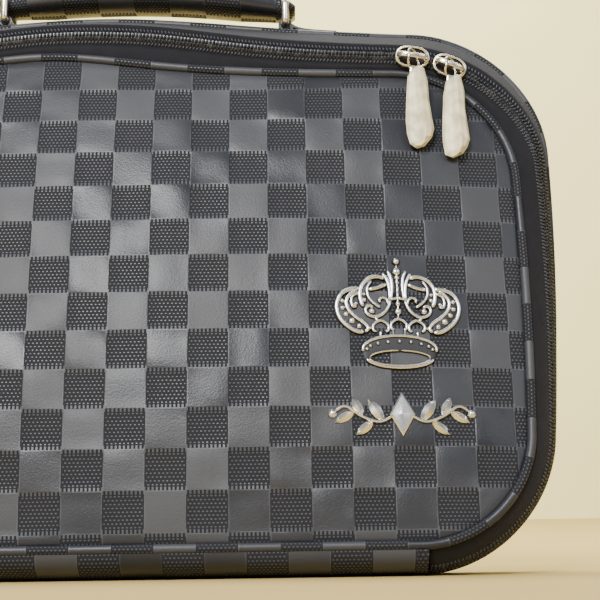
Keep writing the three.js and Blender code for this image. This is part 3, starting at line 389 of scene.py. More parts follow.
def leatherette(name, smooth_rough=0.44, dot_rough=0.4):
    made = new_finish(name, Specular_IOR_Level=0.45)
    fa, fd, smooth, near_a, near_d, pick = checker(made)
    sunk = smooth.flip()
    worn = noise_at(made, 22.0)
    # Painted highlight: a thin lighter line along the edges of each smooth square, broken up by noise.
    rim = smooth * step(near_a.do("MINIMUM", near_d), 0.04, 0.008)
    rim = rim * step(noise_at(made, 90.0), 0.35, 0.65, 0.15, 0.8)

    row = fd * DOTS_DOWN
    column = fa * DOTS_ACROSS + row.do("FLOOR").do("PINGPONG", 1.0) * 0.5
    dx = (column.do("FRACT") - 0.5) / DOT_WIDE
    dy = (row.do("FRACT") - 0.5) / DOT_HIGH
    dots = step(dx * dx + dy * dy, 1.2, 0.4) * step(near_a, 0.02, 0.05) * step(near_d, TICK_EDGE, 0.11) * sunk

    tick_x = ((fa * DOTS_ACROSS).do("FRACT") - 0.5).do("ABSOLUTE")
    band = sunk * step(near_d, TICK_BAND, TICK_EDGE)
    dots = dots.do("MAXIMUM", band * step(tick_x, 0.16, 0.26) * 0.75)
    gaps = band * step(tick_x, 0.26, 0.16)

    # Painted light and shade: each smooth square takes a random tone between the shaded and the lit one.
    base = mix(smooth, SUNK_TONE, mix(pick.do("POWER", 1.4), SMOOTH_SHADED, SMOOTH_LIT))
    patches = step(worn, 0.35, 0.7, 0.0, 0.1)
    layers = (dots, DOT_TONE), (rim, EDGE_HIGHLIGHT_TONE), (gaps, TICK_TONE), (patches, WORN_TONE)
    for share, tone in layers:
        base = mix(share, base, tone)
    rough = sunk * step(dots, 0.0, 1.0, 0.85, dot_rough) + smooth * smooth_rough
    rough = rough + step(worn, 0.3, 0.7, -0.04, 0.05) + pick.do("MULTIPLY_ADD", 0.14, -0.07) * smooth
    height = dots * 0.7 + smooth * 0.75 + noise_at(made, 1150.0) * 0.32
    return fill(made, Base_Color=base, Roughness=rough, Normal=bump(height, 0.3 * MM))


LEATHER = leatherette("leatherette")
GLOSSY_LEATHER = leatherette("strap leatherette", 0.27, 0.33)
print("finishes:", LEATHER.name, GLOSSY_LEATHER.name)

# %% [markdown]
# ### The other finishes
# The tape is a dense twill, the coil a slightly shiny black plastic, and the fittings are nickel plated.
# The crown is cast and darkened, then rubbed bright on its high places, so its finish reads an attribute
# that says how high each point lies in the relief. The sliders use the same finish, with painted shade in
# the sunk middle of each plate.

# %% Tape, coil and plain dark leather
def woven(name, tone, light):
    made = new_finish(name, Roughness=0.85, Specular_IOR_Level=0.2, Sheen_Weight=0.08)
    across, down = cloth_map(made)
    ribs = (across * 9000.0 + down * 4000.0).do("SINE").do("MULTIPLY_ADD", 0.5, 0.5)
    yarn = ribs * (down * 12000.0).do("SINE").do("MULTIPLY_ADD", 0.5, 0.5)
    shade = (yarn + noise_at(made, 160.0)).do("MULTIPLY", 0.5, use_clamp=True)
    return fill(made, Base_Color=mix(shade, tone, light), Normal=bump(yarn, 0.15 * MM))


def moulded(name, tone, roughness):
    made = new_finish(name, Specular_IOR_Level=0.5)
    dusty = noise_at(made, 300.0)
    return fill(made, Base_Color=mix(step(dusty, 0.45, 0.8), tone, rgb(0.05, 0.05, 0.052)),
                Roughness=step(dusty, 0.3, 0.7, roughness - 0.06, roughness + 0.1))


def plain_leather(name, tone):
    made = new_finish(name, Specular_IOR_Level=0.45)
    grain, worn = noise_at(made, 900.0, 3.0), noise_at(made, 60.0)
    return fill(made, Base_Color=mix(step(worn, 0.4, 0.75), tone, rgb(0.03, 0.03, 0.034)),
                Roughness=step(grain, 0.2, 0.8, 0.38, 0.55), Normal=bump(grain, 0.2 * MM))


TAPE = woven("zip tape", rgb(0.0045, 0.0045, 0.007), rgb(0.018, 0.018, 0.025))
COIL = moulded("zip coil", rgb(0.008, 0.010, 0.016), 0.3)
THREAD = moulded("sewing thread", rgb(0.047, 0.057, 0.08), 0.45)
DARK_LEATHER = plain_leather("dark leather", rgb(0.012, 0.012, 0.016))
print("finishes:", TAPE.name, COIL.name, THREAD.name, DARK_LEATHER.name)


# %% Nickel, silver and film
def plated(name, tone, roughness):
    made = new_finish(name, Metallic=1.0)
    smudge = noise_at(made, 140.0, 4.0)
    return fill(made, Base_Color=mix(step(smudge, 0.55, 0.85), tone, darker(tone, 0.72)),
                Roughness=step(smudge, 0.3, 0.8, roughness - 0.05, roughness + 0.14),
                Normal=bump(noise_at(made, 900.0), 0.02 * MM))


def antique(name, bright, dark):
    made = new_finish(name, Metallic=1.0)
    rise = node(made.node_tree, "ShaderNodeAttribute", output="Fac", attribute_name="rise")
    rubbed = rise + noise_at(made, 500.0, 3.0).do("MULTIPLY_ADD", 0.2, -0.1)
    return fill(made, Base_Color=mix(step(rubbed, 0.42, 0.78), dark, bright),
                Roughness=step(rubbed, 0.2, 0.7, 0.6, 0.24), Normal=bump(noise_at(made, 1500.0), 0.03 * MM))


def cloudy(name, clear, shaded_tone):
    made = new_finish(name, Specular_IOR_Level=0.6, Subsurface_Weight=0.1, Subsurface_Scale=0.5,
                      Subsurface_Radius=(0.004, 0.003, 0.002))
    cloud, crease = noise_at(made, 170.0, 4.0), noise_at(made, 260.0, 5.0, (1, 1, 0.25))
    # Painted shade: the darker tone stands for the shaded creases of the film, laid in random cloudy patches
    # over the lighter tone.
    return fill(made, Base_Color=mix(step(cloud, 0.35, 0.7), clear, shaded_tone),
                Roughness=step(cloud, 0.3, 0.7, 0.35, 0.6), Normal=bump(crease, 0.5 * MM, 0.8))


NICKEL_TONE = rgb(0.80, 0.73, 0.60)
NICKEL = plated("nickel", NICKEL_TONE, 0.2)
# Painted shade: on the sliders, the dark tone fills the sunk middle of the plate, which lies in shade.
SHADED_NICKEL = antique("nickel with painted shade", NICKEL_TONE, rgb(0.035, 0.03, 0.026))
SILVER = antique("cast silver", rgb(0.80, 0.80, 0.79), rgb(0.05, 0.05, 0.055))
# The second tone of the film is painted shade.
FILM = cloudy("cloudy film", rgb(0.93, 0.87, 0.60), rgb(0.62, 0.57, 0.38))
print("finishes:", NICKEL.name, SHADED_NICKEL.name, SILVER.name, FILM.name)

# %% [markdown]
# ## Front and back covers
# Each cover is leatherette on foam, held all round by the seam, so it swells like a shallow dome and rolls
# over beside the piping. A round grid would cut across the embossed squares. Here the mesh lines follow the
# squares instead, and rows of points follow the rim: a Delaunay triangulation joins the two.

# %% A domed cover
RELIEF = 0.25 * MM  # the dotted squares lie this much lower
RELIEF_EDGE = 0.035  # width of a square's slope, in squares
PILLOW = 0.05 * MM  # swell of each smooth square
LEAN = 0.7 * MM  # twice the most that a smooth square rises from side to side
ROLL = 6 * MM  # width of the roll beside the piping
ROLL_DEPTH = 1.7 * MM
TUCK = 1.7 * MM  # rim to the seam's middle line, inside the piping
WALL = 2 * MM
PATTERN_X, PATTERN_UP = -47.0 * MM, 238.4 * MM  # a corner of the squares, along the front


def relief(u, v):
    """Depth of the embossing at a place of the pattern, in metres."""
    fu, fv = u % 1, v % 1
    edge = np.minimum(np.minimum(fu, 1 - fu), np.minimum(fv, 1 - fv))
    slope = np.clip(edge / RELIEF_EDGE, 0, 1)
    sunk = (np.floor(u) + np.floor(v)) % 2 == 0
    pillow = PILLOW * 16 * fu * (1 - fu) * fv * (1 - fv)
    # A repeatable pick for each square says how it leans.
    pick = np.sin(np.floor(u) * 12.9898 + np.floor(v) * 78.233) * 43758.5453
    lean = LEAN * ((pick % 1 - 0.5) * (fu - 0.5) + ((pick * 7) % 1 - 0.5) * (fv - 0.5)) * slope
    return np.where(sunk, -RELIEF * slope, pillow + lean)


class Cover:
    """A cover on one seam. Places on it are x and the height along its leaning plane."""

    def __init__(self, seam, points, outward, dome, power, facing):
        lean = math.radians(seam["lean"])
        self.up = np.array([0, math.sin(lean), math.cos(lean)])
        self.out = facing * np.array([0, -math.cos(lean), math.sin(lean)])
        self.foot = np.array([0, seam["y"] * MM, 0])
        self.dome, self.power = dome, power
        self.centre = (seam["bottom"] + seam["top"]) / 2 * MM / math.cos(lean)
        seam_line = np.stack([points[:, 0], points[:, 2] / math.cos(lean)], -1)
        self.inward = -np.stack([outward[:, 0], outward[:, 2]], -1)
        self.rim = seam_line + self.inward * TUCK
        self.angles = np.unwrap(np.arctan2(self.rim[:, 1] - self.centre, self.rim[:, 0]))
        self.reach = np.hypot(self.rim[:, 0], self.rim[:, 1] - self.centre)

    def share(self, x, up):
        """How far a place lies on the way from the middle (0) to the rim (1)."""
        angle = np.arctan2(up - self.centre, x)
        return np.hypot(x, up - self.centre) / np.interp(angle, self.angles, self.reach, period=2 * math.pi)

    def from_rim(self, x, up):
        """Distance to the rim."""
        p = np.stack([x, up], -1)[:, None]
        a, b = self.rim[None], np.roll(self.rim, -1, 0)[None]
        along = b - a
        t = np.clip(((p - a) * along).sum(-1) / (along**2).sum(-1), 0, 1)
        return np.linalg.norm(p - a - along * t[..., None], axis=-1).min(1)

    def lift(self, x, up):
        """Height of the outer face over the seam's plane, without the embossing."""
        x, up = np.atleast_1d(x), np.atleast_1d(up)
        dome = self.dome * (1 - np.clip(self.share(x, up), 0, 1) ** self.power)
        near = np.clip(self.from_rim(x, up) / ROLL, 0, 1)
        roll = ROLL_DEPTH * (np.sqrt(1 - (1 - near) ** 2) - 1)
        waves = sag(x, up) * near * MM
        return WALL / 2 + dome + roll + waves

    def point(self, x, up, extra=0.0):
        high = self.lift(x, up) + extra
        x, up = np.atleast_1d(x), np.atleast_1d(up)
        side = np.stack([x, 0 * x, 0 * x], -1)
        return self.foot + side + up[:, None] * self.up + high[:, None] * self.out


def sag(x, up):
    """Slack of the cloth in millimetres: slow hollows, and a soft crease in the upper middle."""
    x, up = x / MM, up / MM
    hollows = np.sin(x / 31 + 0.6) * np.sin(up / 27 + 1.1) + 0.5 * np.sin((x + up) / 15.0)
    hollows = hollows + 0.7 * np.sin(x / 19 - up / 41 + 2.0)
    crease = 1.0 * np.exp(-(((x - 16 - 0.05 * (up - 180)) / 8) ** 2)) * np.clip((up - 95) / 90, 0, 1)
    return 0.28 * (hollows - 2.2) + crease


def pattern(x, up):
    return (x - PATTERN_X) / CHECK, (up - PATTERN_UP) / CHECK


RIM_ROWS = np.array([0, 0.5, 1.2, 2.1, 3.2, 4.5, 6.0, 8.0]) * MM
SQUARE_LINES = (0, RELIEF_EDGE, 0.34, 0.66, 1 - RELIEF_EDGE)
GRID_MARGIN = 9.5 * MM
FADE_FROM, FADE_OVER = 8 * MM, 3 * MM  # the embossing rises from nothing beside the roll
AREA_HALF, AREA_TOP = 0.22, 0.28  # the squares are laid over this much, and then cut at the rim


def make_cover(name, cover):
    rings = [cover.rim + cover.inward * d for d in RIM_ROWS]
    spans = zip(pattern(-AREA_HALF, 0.0), pattern(AREA_HALF, AREA_TOP))
    us, vs = (
        [k + f for k in range(math.floor(low), math.ceil(high)) for f in SQUARE_LINES] for low, high in spans)
    gu, gv = (g.ravel() for g in np.meshgrid(us, vs))
    gx, gup = gu * CHECK + PATTERN_X, gv * CHECK + PATTERN_UP
    inside = cover.share(gx, gup) < 1
    gx, gup = gx[inside], gup[inside]
    deep = cover.from_rim(gx, gup) > GRID_MARGIN
    flat = np.vstack(rings + [np.stack([gx[deep], gup[deep]], -1)])
    border = [(i, (i + 1) % COUNT) for i in range(COUNT)]
    vertices, _, faces, *_ = delaunay_2d_cdt([Vector(p / MM) for p in flat], border, [], 1, 1e-6)
    flat = np.array(vertices) * MM
    u, v = pattern(flat[:, 0], flat[:, 1])
    fade = np.clip((cover.from_rim(flat[:, 0], flat[:, 1]) - FADE_FROM) / FADE_OVER, 0, 1)
    points = cover.point(flat[:, 0], flat[:, 1], relief(u, v) * fade)
    a, b, c = points[faces[0][0]], points[faces[0][1]], points[faces[0][2]]
    if np.dot(np.cross(b - a, c - a), cover.out) < 0:
        faces = [f[::-1] for f in faces]
    mesh = bpy.data.meshes.new(name)
    mesh.from_pydata(points.tolist(), [], faces)
    layer = mesh.uv_layers.new(name="cloth")
    order = np.array([i for f in faces for i in f])
    layer.data.foreach_set("uv", np.stack([u[order], v[order]], -1).ravel())
    piece = to_object(name, mesh)
    give_wall(piece, WALL, -1.0)
    return piece


# %% Make both covers
front_face = Cover(SEAMS["front"], front, front_out, 10 * MM, 2.4, 1)
back_face = Cover(SEAMS["rear"], rear, rear_out, 5 * MM, 2.2, -1)
for side, face, fill_share in (("front", front_face, 0.5), ("back", back_face, 0.4)):
    cover = make_cover(side + "_cover", face)
    dress(cover, LEATHER, "leatherette", side + "_panel", crease=35)

# %% [markdown]
# ## Piping
# A welt is a strip of the same leatherette wrapped round a cord and caught in the seam. It is a tube along
# the seam. Its pattern runs along the strip, so smooth and dotted lengths alternate as on the real one.

# %% Three welted edges
PIPING = 2.1 * MM
PIPING_SIDES = 16


def frames_along(points, outward, closed):
    """Outward and sideways directions for each point of a path, square to it."""
    if closed:
        run = np.roll(points, -1, 0) - np.roll(points, 1, 0)
    else:
        run = np.gradient(points, axis=0)
    along = unit(run)
    s = unit(outward - (outward * along).sum(-1, keepdims=True) * along)
    return s, np.cross(along, s)


def tube(name, points, outward, radius, sides, closed, start=0.0):
    """A tube along a path. Its pattern begins at start, in squares."""
    s, t = frames_along(points, outward, closed)
    angles = np.arange(sides)[None, :, None] / sides * 2 * math.pi
    rings = points[:, None] + radius * (np.cos(angles) * s[:, None] + np.sin(angles) * t[:, None])
    way = lengths(points, closed) / CHECK
    if closed:  # an even number of squares, so that the pattern meets itself
        way = way * round(way[-1] / 2) * 2 / way[-1]
    uv = uv_grid(way + start, 0.14 + 0.72 * np.arange(sides + 1) / sides)
    return grid_piece(name, rings, uv, loop_rows=closed, loop_cols=True, close=not closed)


zip_span = slice(HINGE_STEPS, COUNT - HINGE_STEPS + 1)
for name, points, outward, closed, start in (
    ("front_piping", front, front_out, True, 0.35),
    ("middle_piping", middle[zip_span], middle_out[zip_span], False, 0.6),
    ("rear_piping", rear, rear_out, True, 0.2),
):
    welt = tube(name + "_welt", points, outward, PIPING, PIPING_SIDES, closed, start)
    dress(welt, LEATHER, "leatherette", name)

# %% [markdown]
# ## Gusset and hinge strip
# The gusset is the band that joins the middle and the rear seam all the way round. It is flat where the bag
# stands and swells a little elsewhere, with fine wrinkles where it is bent round the upper corners.

# %% Gusset
SEAM_DROP = 1.3 * MM  # middle of the base wall below the seams
GUSSET_ROWS = 27
FLOOR_EDGE = 0.08  # share of the band's width in which it drops to the floor
SIDE_BOW, TOP_BOW = 3 * MM, 0.5 * MM  # swell between the seams
WRINKLE, WRINKLE_STEP = 0.35 * MM, 4.1 * MM


def gusset_points():
    shares = np.linspace(0, 1, GUSSET_ROWS)[:, None, None]
    across = rear - middle
    size = np.linalg.norm(across, axis=1, keepdims=True)
    way = TUCK + (size - 2 * TUCK) * shares
    down = np.clip(-middle_out[:, 2:], 0, 1) ** 2
    up = np.clip(middle_out[:, 2:], 0, 1) ** 2
    floor = SEAM_DROP * np.minimum(1, np.minimum(shares, 1 - shares) / FLOOR_EDGE)
    bow = lerp(SIDE_BOW, TOP_BOW, up) * 4 * shares * (1 - shares)
    bent = np.abs(middle_out[:, :1] * middle_out[:, 2:]) * 2 * (middle_out[:, 2:] > 0)
    run = lengths(middle, True)[:-1, None]
    wrinkle = WRINKLE * bent * np.sin(run / WRINKLE_STEP + 3 * shares) * np.sin(math.pi * shares)
    high = lerp(bow, floor, down) + wrinkle + WALL / 2
    return middle + across * way / size + middle_out * high, way


gusset_grid, gusset_way = gusset_points()
along_u = np.broadcast_to(lengths(middle, True) / CHECK, (GUSSET_ROWS, COUNT + 1))
across_v = np.concatenate([gusset_way[..., 0], gusset_way[:, :1, 0]], 1) / CHECK
gusset = grid_piece("gusset_band", gusset_grid, np.stack([along_u, across_v], -1), loop_cols=True)
give_wall(gusset, WALL, -1.0)
dress(gusset, LEATHER, "leatherette", "gusset")
gusset_flat = across_v[-1].mean() * CHECK, along_u[0, -1] * CHECK
stretched(gusset, gusset_flat, "middle_piping_welt", "rear_piping_welt")

# %% Hinge strip
HINGE_ROWS, HINGE_COLUMNS = 17, 70
HINGE_CLEAR = 0.2 * MM  # over the table
FOLD, FOLD_RISE = 3.2 * MM, 0.7 * MM  # folded and sewn end of the strip


def hinge_run(points):
    return np.vstack([points[COUNT - HINGE_STEPS:], points[: HINGE_STEPS + 1]])


def hinge_points():
    """Curves from under the front piping down and back to the middle piping, folded at each end."""
    fronts, middles = hinge_run(front), hinge_run(middle)
    way = lengths(fronts)
    ends = np.array([0, 0.25 * MM, FOLD - 0.3 * MM, FOLD])
    body = np.linspace(FOLD + 2 * MM, way[-1] - FOLD - 2 * MM, HINGE_COLUMNS)
    places = np.concatenate([ends, body, way[-1] - ends[::-1]])
    fronts, middles = (
        np.stack([np.interp(places, way, run[:, k]) for k in range(3)], -1) for run in (fronts, middles))
    low = np.full(len(fronts), WALL / 2 + HINGE_CLEAR)
    start = fronts - [0, 0, TUCK]
    turn = np.stack([fronts[:, 0], fronts[:, 1], low], -1)
    end = np.stack([fronts[:, 0], middles[:, 1] + PIPING, low], -1)
    share = np.linspace(0, 1, HINGE_ROWS)[:, None, None]
    grid = lerp(lerp(start, turn, share), lerp(turn, end, share), share)
    folded = (places < FOLD - 0.1 * MM) | (places > way[-1] - FOLD + 0.1 * MM)
    grid[..., 1] -= folded * FOLD_RISE * (1 - share[..., 0])
    return grid, places


hinge_grid, hinge_places = hinge_points()
hinge_down = widths(hinge_grid)
hinge_uv = uv_grid(hinge_down / CHECK + 0.2, hinge_places / CHECK)[..., ::-1]
hinge = grid_piece("hinge_cloth", hinge_grid, hinge_uv)
give_wall(hinge, WALL, 0.0)
dress(hinge, LEATHER, "leatherette", "hinge_strip", crease=50)
stretched(hinge, (hinge_down[-1], hinge_places[-1]), "front_piping_welt")

# %% [markdown]
# ## Zip tapes
# A zip is two woven tapes with a coil sewn along the edge of each. The tapes bow outwards between the seams
# and, over the top, the chain turns its face down towards the front. The frames below carry both tapes and
# everything that is sewn or runs on them.

# %% Frames along the zip
TAPE_WALL = 1.2 * MM
CHAIN_SIDE = 0.57  # place of the chain between the front and the middle seam, at the sides
CHAIN_TOP, CHAIN_CREST, CREST_AT, CREST_SPREAD = 0.16, 0.26, 5, 60  # it strays up in the middle
CHAIN_BOW_SIDE, CHAIN_BOW_TOP = 4.0 * MM, 6.0 * MM  # how far it stands out
CHAIN_TURN = 40  # degrees that it turns down to the front, over the top


def rotate(v, axis, angle):
    c, s = np.cos(angle)[:, None], np.sin(angle)[:, None]
    return v * c + np.cross(axis, v) * s + axis * (axis * v).sum(-1, keepdims=True) * (1 - c)


zip_front, zip_middle = front[zip_span], middle[zip_span]
zip_across = zip_middle - zip_front
zip_along = unit(np.gradient(zip_front, axis=0) + np.gradient(zip_middle, axis=0))
zip_up = np.clip(middle_out[zip_span][:, 2], 0, 1)
zip_out = unit(np.cross(zip_across, zip_along))
top_share = CHAIN_TOP + CHAIN_CREST / (1 + ((zip_front[:, 0] / MM - CREST_AT) / CREST_SPREAD) ** 2)
zip_place = lerp(zip_front, zip_middle, lerp(CHAIN_SIDE, top_share, zip_up)[:, None])
zip_place = zip_place + zip_out * lerp(CHAIN_BOW_SIDE, CHAIN_BOW_TOP, zip_up)[:, None]
zip_tilt = -np.radians(CHAIN_TURN * zip_up)
zip_s = rotate(unit(zip_across), zip_along, zip_tilt)
zip_t = rotate(zip_out, zip_along, zip_tilt)
print("zip:", round(float(lengths(zip_place)[-1]), 3), "m of chain")


# %% Two tapes
TAPE_EDGE = (0.9, 2.6, 4.1, 5.3)  # rows of the flat part beside the coil, in millimetres
TAPE_BOW, TAPE_ROWS = 0.5 * MM, 8


def tape(name, seam_points, side):
    rows = [zip_place + side * zip_s * way * MM for way in TAPE_EDGE]
    edge = rows[-1]
    away = seam_points - edge
    reach = 1 - TUCK / np.linalg.norm(away, axis=1, keepdims=True)
    for share in np.linspace(0, 1, TAPE_ROWS + 1)[1:]:
        rows.append(edge + away * reach * share + zip_t * TAPE_BOW * math.sin(math.pi * share))
    grid = np.array(rows)
    down, way = widths(grid), lengths(zip_place)
    piece = grid_piece(name, grid, uv_grid(down, way)[..., ::-1])
    give_wall(piece, TAPE_WALL, 0.0)
    return piece, (down[-1], way[-1])


for name, node_name, seam_points, side, welt in (
    ("front_tape", "zip_tape_front", zip_front, -1, "front_piping_welt"),
    ("rear_tape", "zip_tape_rear", zip_middle, 1, "middle_piping_welt"),
):
    piece, flat = tape(name, seam_points, side)
    dress(piece, TAPE, "zip_tape", node_name)
    stretched(piece, flat, welt)

# %% [markdown]
# ## Coil and stitches
# The coil has some six hundred turns, and so have the stitches that hold it. Copying them by hand would be
# slow to change, so a Geometry Nodes tree places a pair of small studs at every step of a path. The path
# carries a direction called face that says where each stud's top points.

# %% A tree that sets pairs of studs along a path
STUD_SIZES = {"Pitch": 1.75 * MM, "Length": 1.2 * MM, "Width": 2.6 * MM, "Height": 1.4 * MM, "Slant": 0.0,
              "Side Offset": 1.2 * MM, "Lift": 0.0, "Stagger": 0.5}


def studs_tree():
    tree = bpy.data.node_groups.new("Studs along a path", "GeometryNodeTree")
    face = tree.interface
    face.new_socket("Geometry", in_out="INPUT", socket_type="NodeSocketGeometry")
    for key, value in STUD_SIZES.items():
        face.new_socket(key, in_out="INPUT", socket_type="NodeSocketFloat").default_value = value
    face.new_socket("Finish", in_out="INPUT", socket_type="NodeSocketMaterial")
    face.new_socket("Geometry", in_out="OUTPUT", socket_type="NodeSocketGeometry")
    given = {s.name: Value(tree, s) for s in tree.nodes.new("NodeGroupInput").outputs}
    curve = node(tree, "GeometryNodeMeshToCurve", {"Mesh": given["Geometry"]})
    keys = {"Curve": curve, "Length": given["Pitch"]}
    points = node(tree, "GeometryNodeResampleCurve", keys, mode="LENGTH")
    stud = node(tree, "GeometryNodeMeshUVSphere", {"Segments": 8, "Rings": 5, "Radius": 0.5})
    size = node(tree, "ShaderNodeCombineXYZ", {0: given["Length"], 1: given["Width"], 2: given["Height"]})
    both = tree.nodes.new("GeometryNodeJoinGeometry")
    half_step = given["Pitch"] * (given["Stagger"] * 0.5)
    for side in (1.0, -1.0):
        keys = {0: half_step * side, 1: given["Side Offset"] * side, 2: given["Lift"]}
        place = node(tree, "ShaderNodeCombineXYZ", keys)
        spin = node(tree, "ShaderNodeCombineXYZ", {2: given["Slant"] * side})
        keys = {"Geometry": stud, "Translation": place, "Rotation": spin, "Scale": size}
        tree.links.new(node(tree, "GeometryNodeTransform", keys).socket, both.inputs[0])
    facing = node(tree, "GeometryNodeInputNamedAttribute", {"Name": "face"}, data_type="FLOAT_VECTOR")
    keys = {"Primary Axis": facing, "Secondary Axis": node(tree, "GeometryNodeInputTangent")}
    pose = node(tree, "FunctionNodeAxesToRotation", keys, primary_axis="Z", secondary_axis="X")
    keys = {"Points": points, "Instance": Value(tree, both.outputs[0]), "Rotation": pose}
    placed = node(tree, "GeometryNodeInstanceOnPoints", keys)
    solid = node(tree, "GeometryNodeRealizeInstances", {"Geometry": placed})
    smooth = node(tree, "GeometryNodeSetShadeSmooth", {"Geometry": solid})
    done = node(tree, "GeometryNodeSetMaterial", {"Geometry": smooth, "Material": given["Finish"]})
    tree.links.new(done.socket, tree.nodes.new("NodeGroupOutput").inputs[0])
    return tree


STUDS = studs_tree()
SOCKETS = {s.name: s.identifier for s in STUDS.interface.items_tree if s.in_out == "INPUT"}
print("tree inputs:", list(SOCKETS))


# %% Rows of studs as plain mesh
def studs(name, path, facing, finish, slot, *nodes, body="bag", **sizes):
    """A piece of studs along a path, from the tree above."""
    mesh = bpy.data.meshes.new(name)
    mesh.from_pydata(path.tolist(), [(i, i + 1) for i in range(len(path) - 1)], [])
    note(mesh, "face", facing, "FLOAT_VECTOR")
    piece = to_object(name, mesh)
    modifier = piece.modifiers.new("studs", "NODES")
    modifier.node_group = STUDS
    for key, value in {**sizes, "Finish": finish}.items():
        modifier[SOCKETS[key.replace("_", " ")]] = value
    settle(piece)
    return dress(piece, finish, slot, *nodes, body=body)


TOOTH = 1.75 * MM  # from tooth to tooth along the zip
studs("zip_teeth", zip_place, zip_t, COIL, "zip_coil", "zip_chain", Pitch=TOOTH, Length=1.3 * MM,
      Width=2.5 * MM, Height=1.9 * MM, Slant=0.2, Side_Offset=0.95 * MM, Lift=0.85 * MM)
studs("zip_stitches", zip_place, zip_t, THREAD, "zip_coil", Pitch=TOOTH, Length=0.85 * MM,
      Width=2.0 * MM, Height=1.1 * MM, Slant=-0.45, Side_Offset=3.2 * MM, Lift=0.8 * MM)

# %% Core of the chain
core_section = np.array([[-2.6, 0.1], [-2.6, 0.5], [-1.6, 0.9], [1.6, 0.9], [2.6, 0.5], [2.6, 0.1]]) * MM
core_s, core_t = core_section[None, :, :1], core_section[None, :, 1:]
core_rings = zip_place[:, None] + core_s * zip_s[:, None] + core_t * zip_t[:, None]
dress(grid_piece("zip_core", core_rings, loop_cols=True, close=True), COIL, "zip_coil")

# %% [markdown]
# ## Handle
# The strap is a soft core wrapped in leatherette. It lies in a low arch between two rings, thick in the
# middle and squeezed where it goes through them. It is a loft of flat ovals.

# %% Where the rings stand
RING_REACH, RING_WIRE, RING_HEIGHT = 71.5 * MM, 2 * MM, 11.6 * MM
CHAPE_FOLD, FIT_GAP = 1.6 * MM, 0.3 * MM
STRAP_END = 19.4  # width of the strap inside its rings, in millimetres, as of the tabs


def seam_top(seam, x):
    high = seam["top"] + crest_lift(seam, x / MM)
    return np.array([x, (seam["y"] + high * math.tan(math.radians(seam["lean"]))) * MM, high * MM])


def gusset_top(x, share):
    """The outer face of the gusset on top of the bag."""
    point = lerp(seam_top(SEAMS["middle"], x), seam_top(SEAMS["rear"], x), share)
    return point + [0, 0, WALL / 2 + TOP_BOW * 4 * share * (1 - share)]


def ring_place(side):
    seat = gusset_top(side * RING_REACH, 0.5)
    low = seat[2] + FIT_GAP * 2 + CHAPE_FOLD + RING_WIRE
    return dict(x=side * RING_REACH, y=seat[1], low=low, high=low + RING_HEIGHT)


RINGS = {"left": ring_place(-1), "right": ring_place(1)}
print("rings at", {k: [round(float(v[a]), 4) for a in "xy"] for k, v in RINGS.items()})


# %% Loft through rings of points
def superellipse(width, height, power, count):
    """A flat oval as [s, t] pairs."""
    a = np.arange(count) / count * 2 * math.pi
    c, s = np.cos(a), np.sin(a)
    wide, high = (np.sign(k) * np.abs(k) ** (2 / power) for k in (c, s))
    return np.stack([width / 2 * wide, height / 2 * high], -1)


STRAP_BEYOND, STRAP_SINK, STRAP_RISE = 5.2 * MM, 2 * MM, 6 * MM
STRAP_MIDDLE, STRAP_THICK = 25, (10.5, 13)  # width in the middle; thickness in the rings and the middle
STRAP_RINGS = 96


def strap_rings():
    reach = RING_REACH + STRAP_BEYOND
    left, right = RINGS["left"], RINGS["right"]
    rings, centres = [], []
    for share in np.sin(np.linspace(-1, 1, STRAP_RINGS) * math.pi / 2):
        half = (share + 1) / 2
        high = lerp(left["high"], right["high"], half) - STRAP_SINK + STRAP_RISE * (1 - share**2)
        centre = np.array([share * reach, lerp(left["y"], right["y"], half), high])
        inner = float(np.clip((1 - abs(share)) * 4 - 0.5, 0, 1))
        tip = math.sqrt(float(np.clip((1 - abs(share)) * 16, 0.03, 1)))
        thick = lerp(*STRAP_THICK, inner) * MM * tip
        section = superellipse(lerp(STRAP_END, STRAP_MIDDLE, inner) * MM, thick, 2.7, 40)
        rings.append(centre + np.concatenate([0 * section[:, :1], section], 1))
        centres.append(centre)
    return np.array(rings), np.array(centres)


strap_grid, strap_line = strap_rings()
strap_around = lengths(strap_grid[STRAP_RINGS // 2], True)
strap_uv = uv_grid(lengths(strap_line) / CHECK + 0.1, strap_around / CHECK + 0.35)
strap = grid_piece("strap", strap_grid, strap_uv, loop_cols=True, close=True)
dress(strap, GLOSSY_LEATHER, "leatherette", "handle")

# %% Rings
RING_CORNER = 2 * MM


def ring_mesh(name, place):
    deep = STRAP_END / 2 * MM + FIT_GAP + RING_WIRE
    c = RING_CORNER
    corners = [(deep - c, place["low"] + c, -90), (deep - c, place["high"] - c, 0),
               (-deep + c, place["high"] - c, 90), (-deep + c, place["low"] + c, 180)]
    points, outward = [], []
    for dy, z, start in corners:
        for turn in np.radians(start + np.linspace(0, 90, 9)):
            s = np.array([0, math.cos(turn), math.sin(turn)])
            points.append(np.array([place["x"], place["y"] + dy, z]) + s * c)
            outward.append(s)
    return tube(name, np.array(points), np.array(outward), RING_WIRE, 20, True)


for side, place in RINGS.items():
    dress(ring_mesh("metal_ring_" + side, place), NICKEL, "nickel", "ring_" + side)

# %% [markdown]
# ## Chapes
# Each ring is held by a leather tab that goes round its lower bar and is sewn down flat on the gusset. The
# tab is one long strip: along the bag, round the bar and back again.

# %% Leather tabs
CHAPE_WIDTH, CHAPE_LENGTH, CHAPE_LEATHER = STRAP_END * MM, 26 * MM, 1.2 * MM
TAB_RAISE, TAB_SLOPE = 2.2 * MM, 3.2 * MM  # the upper layer rises towards the bar


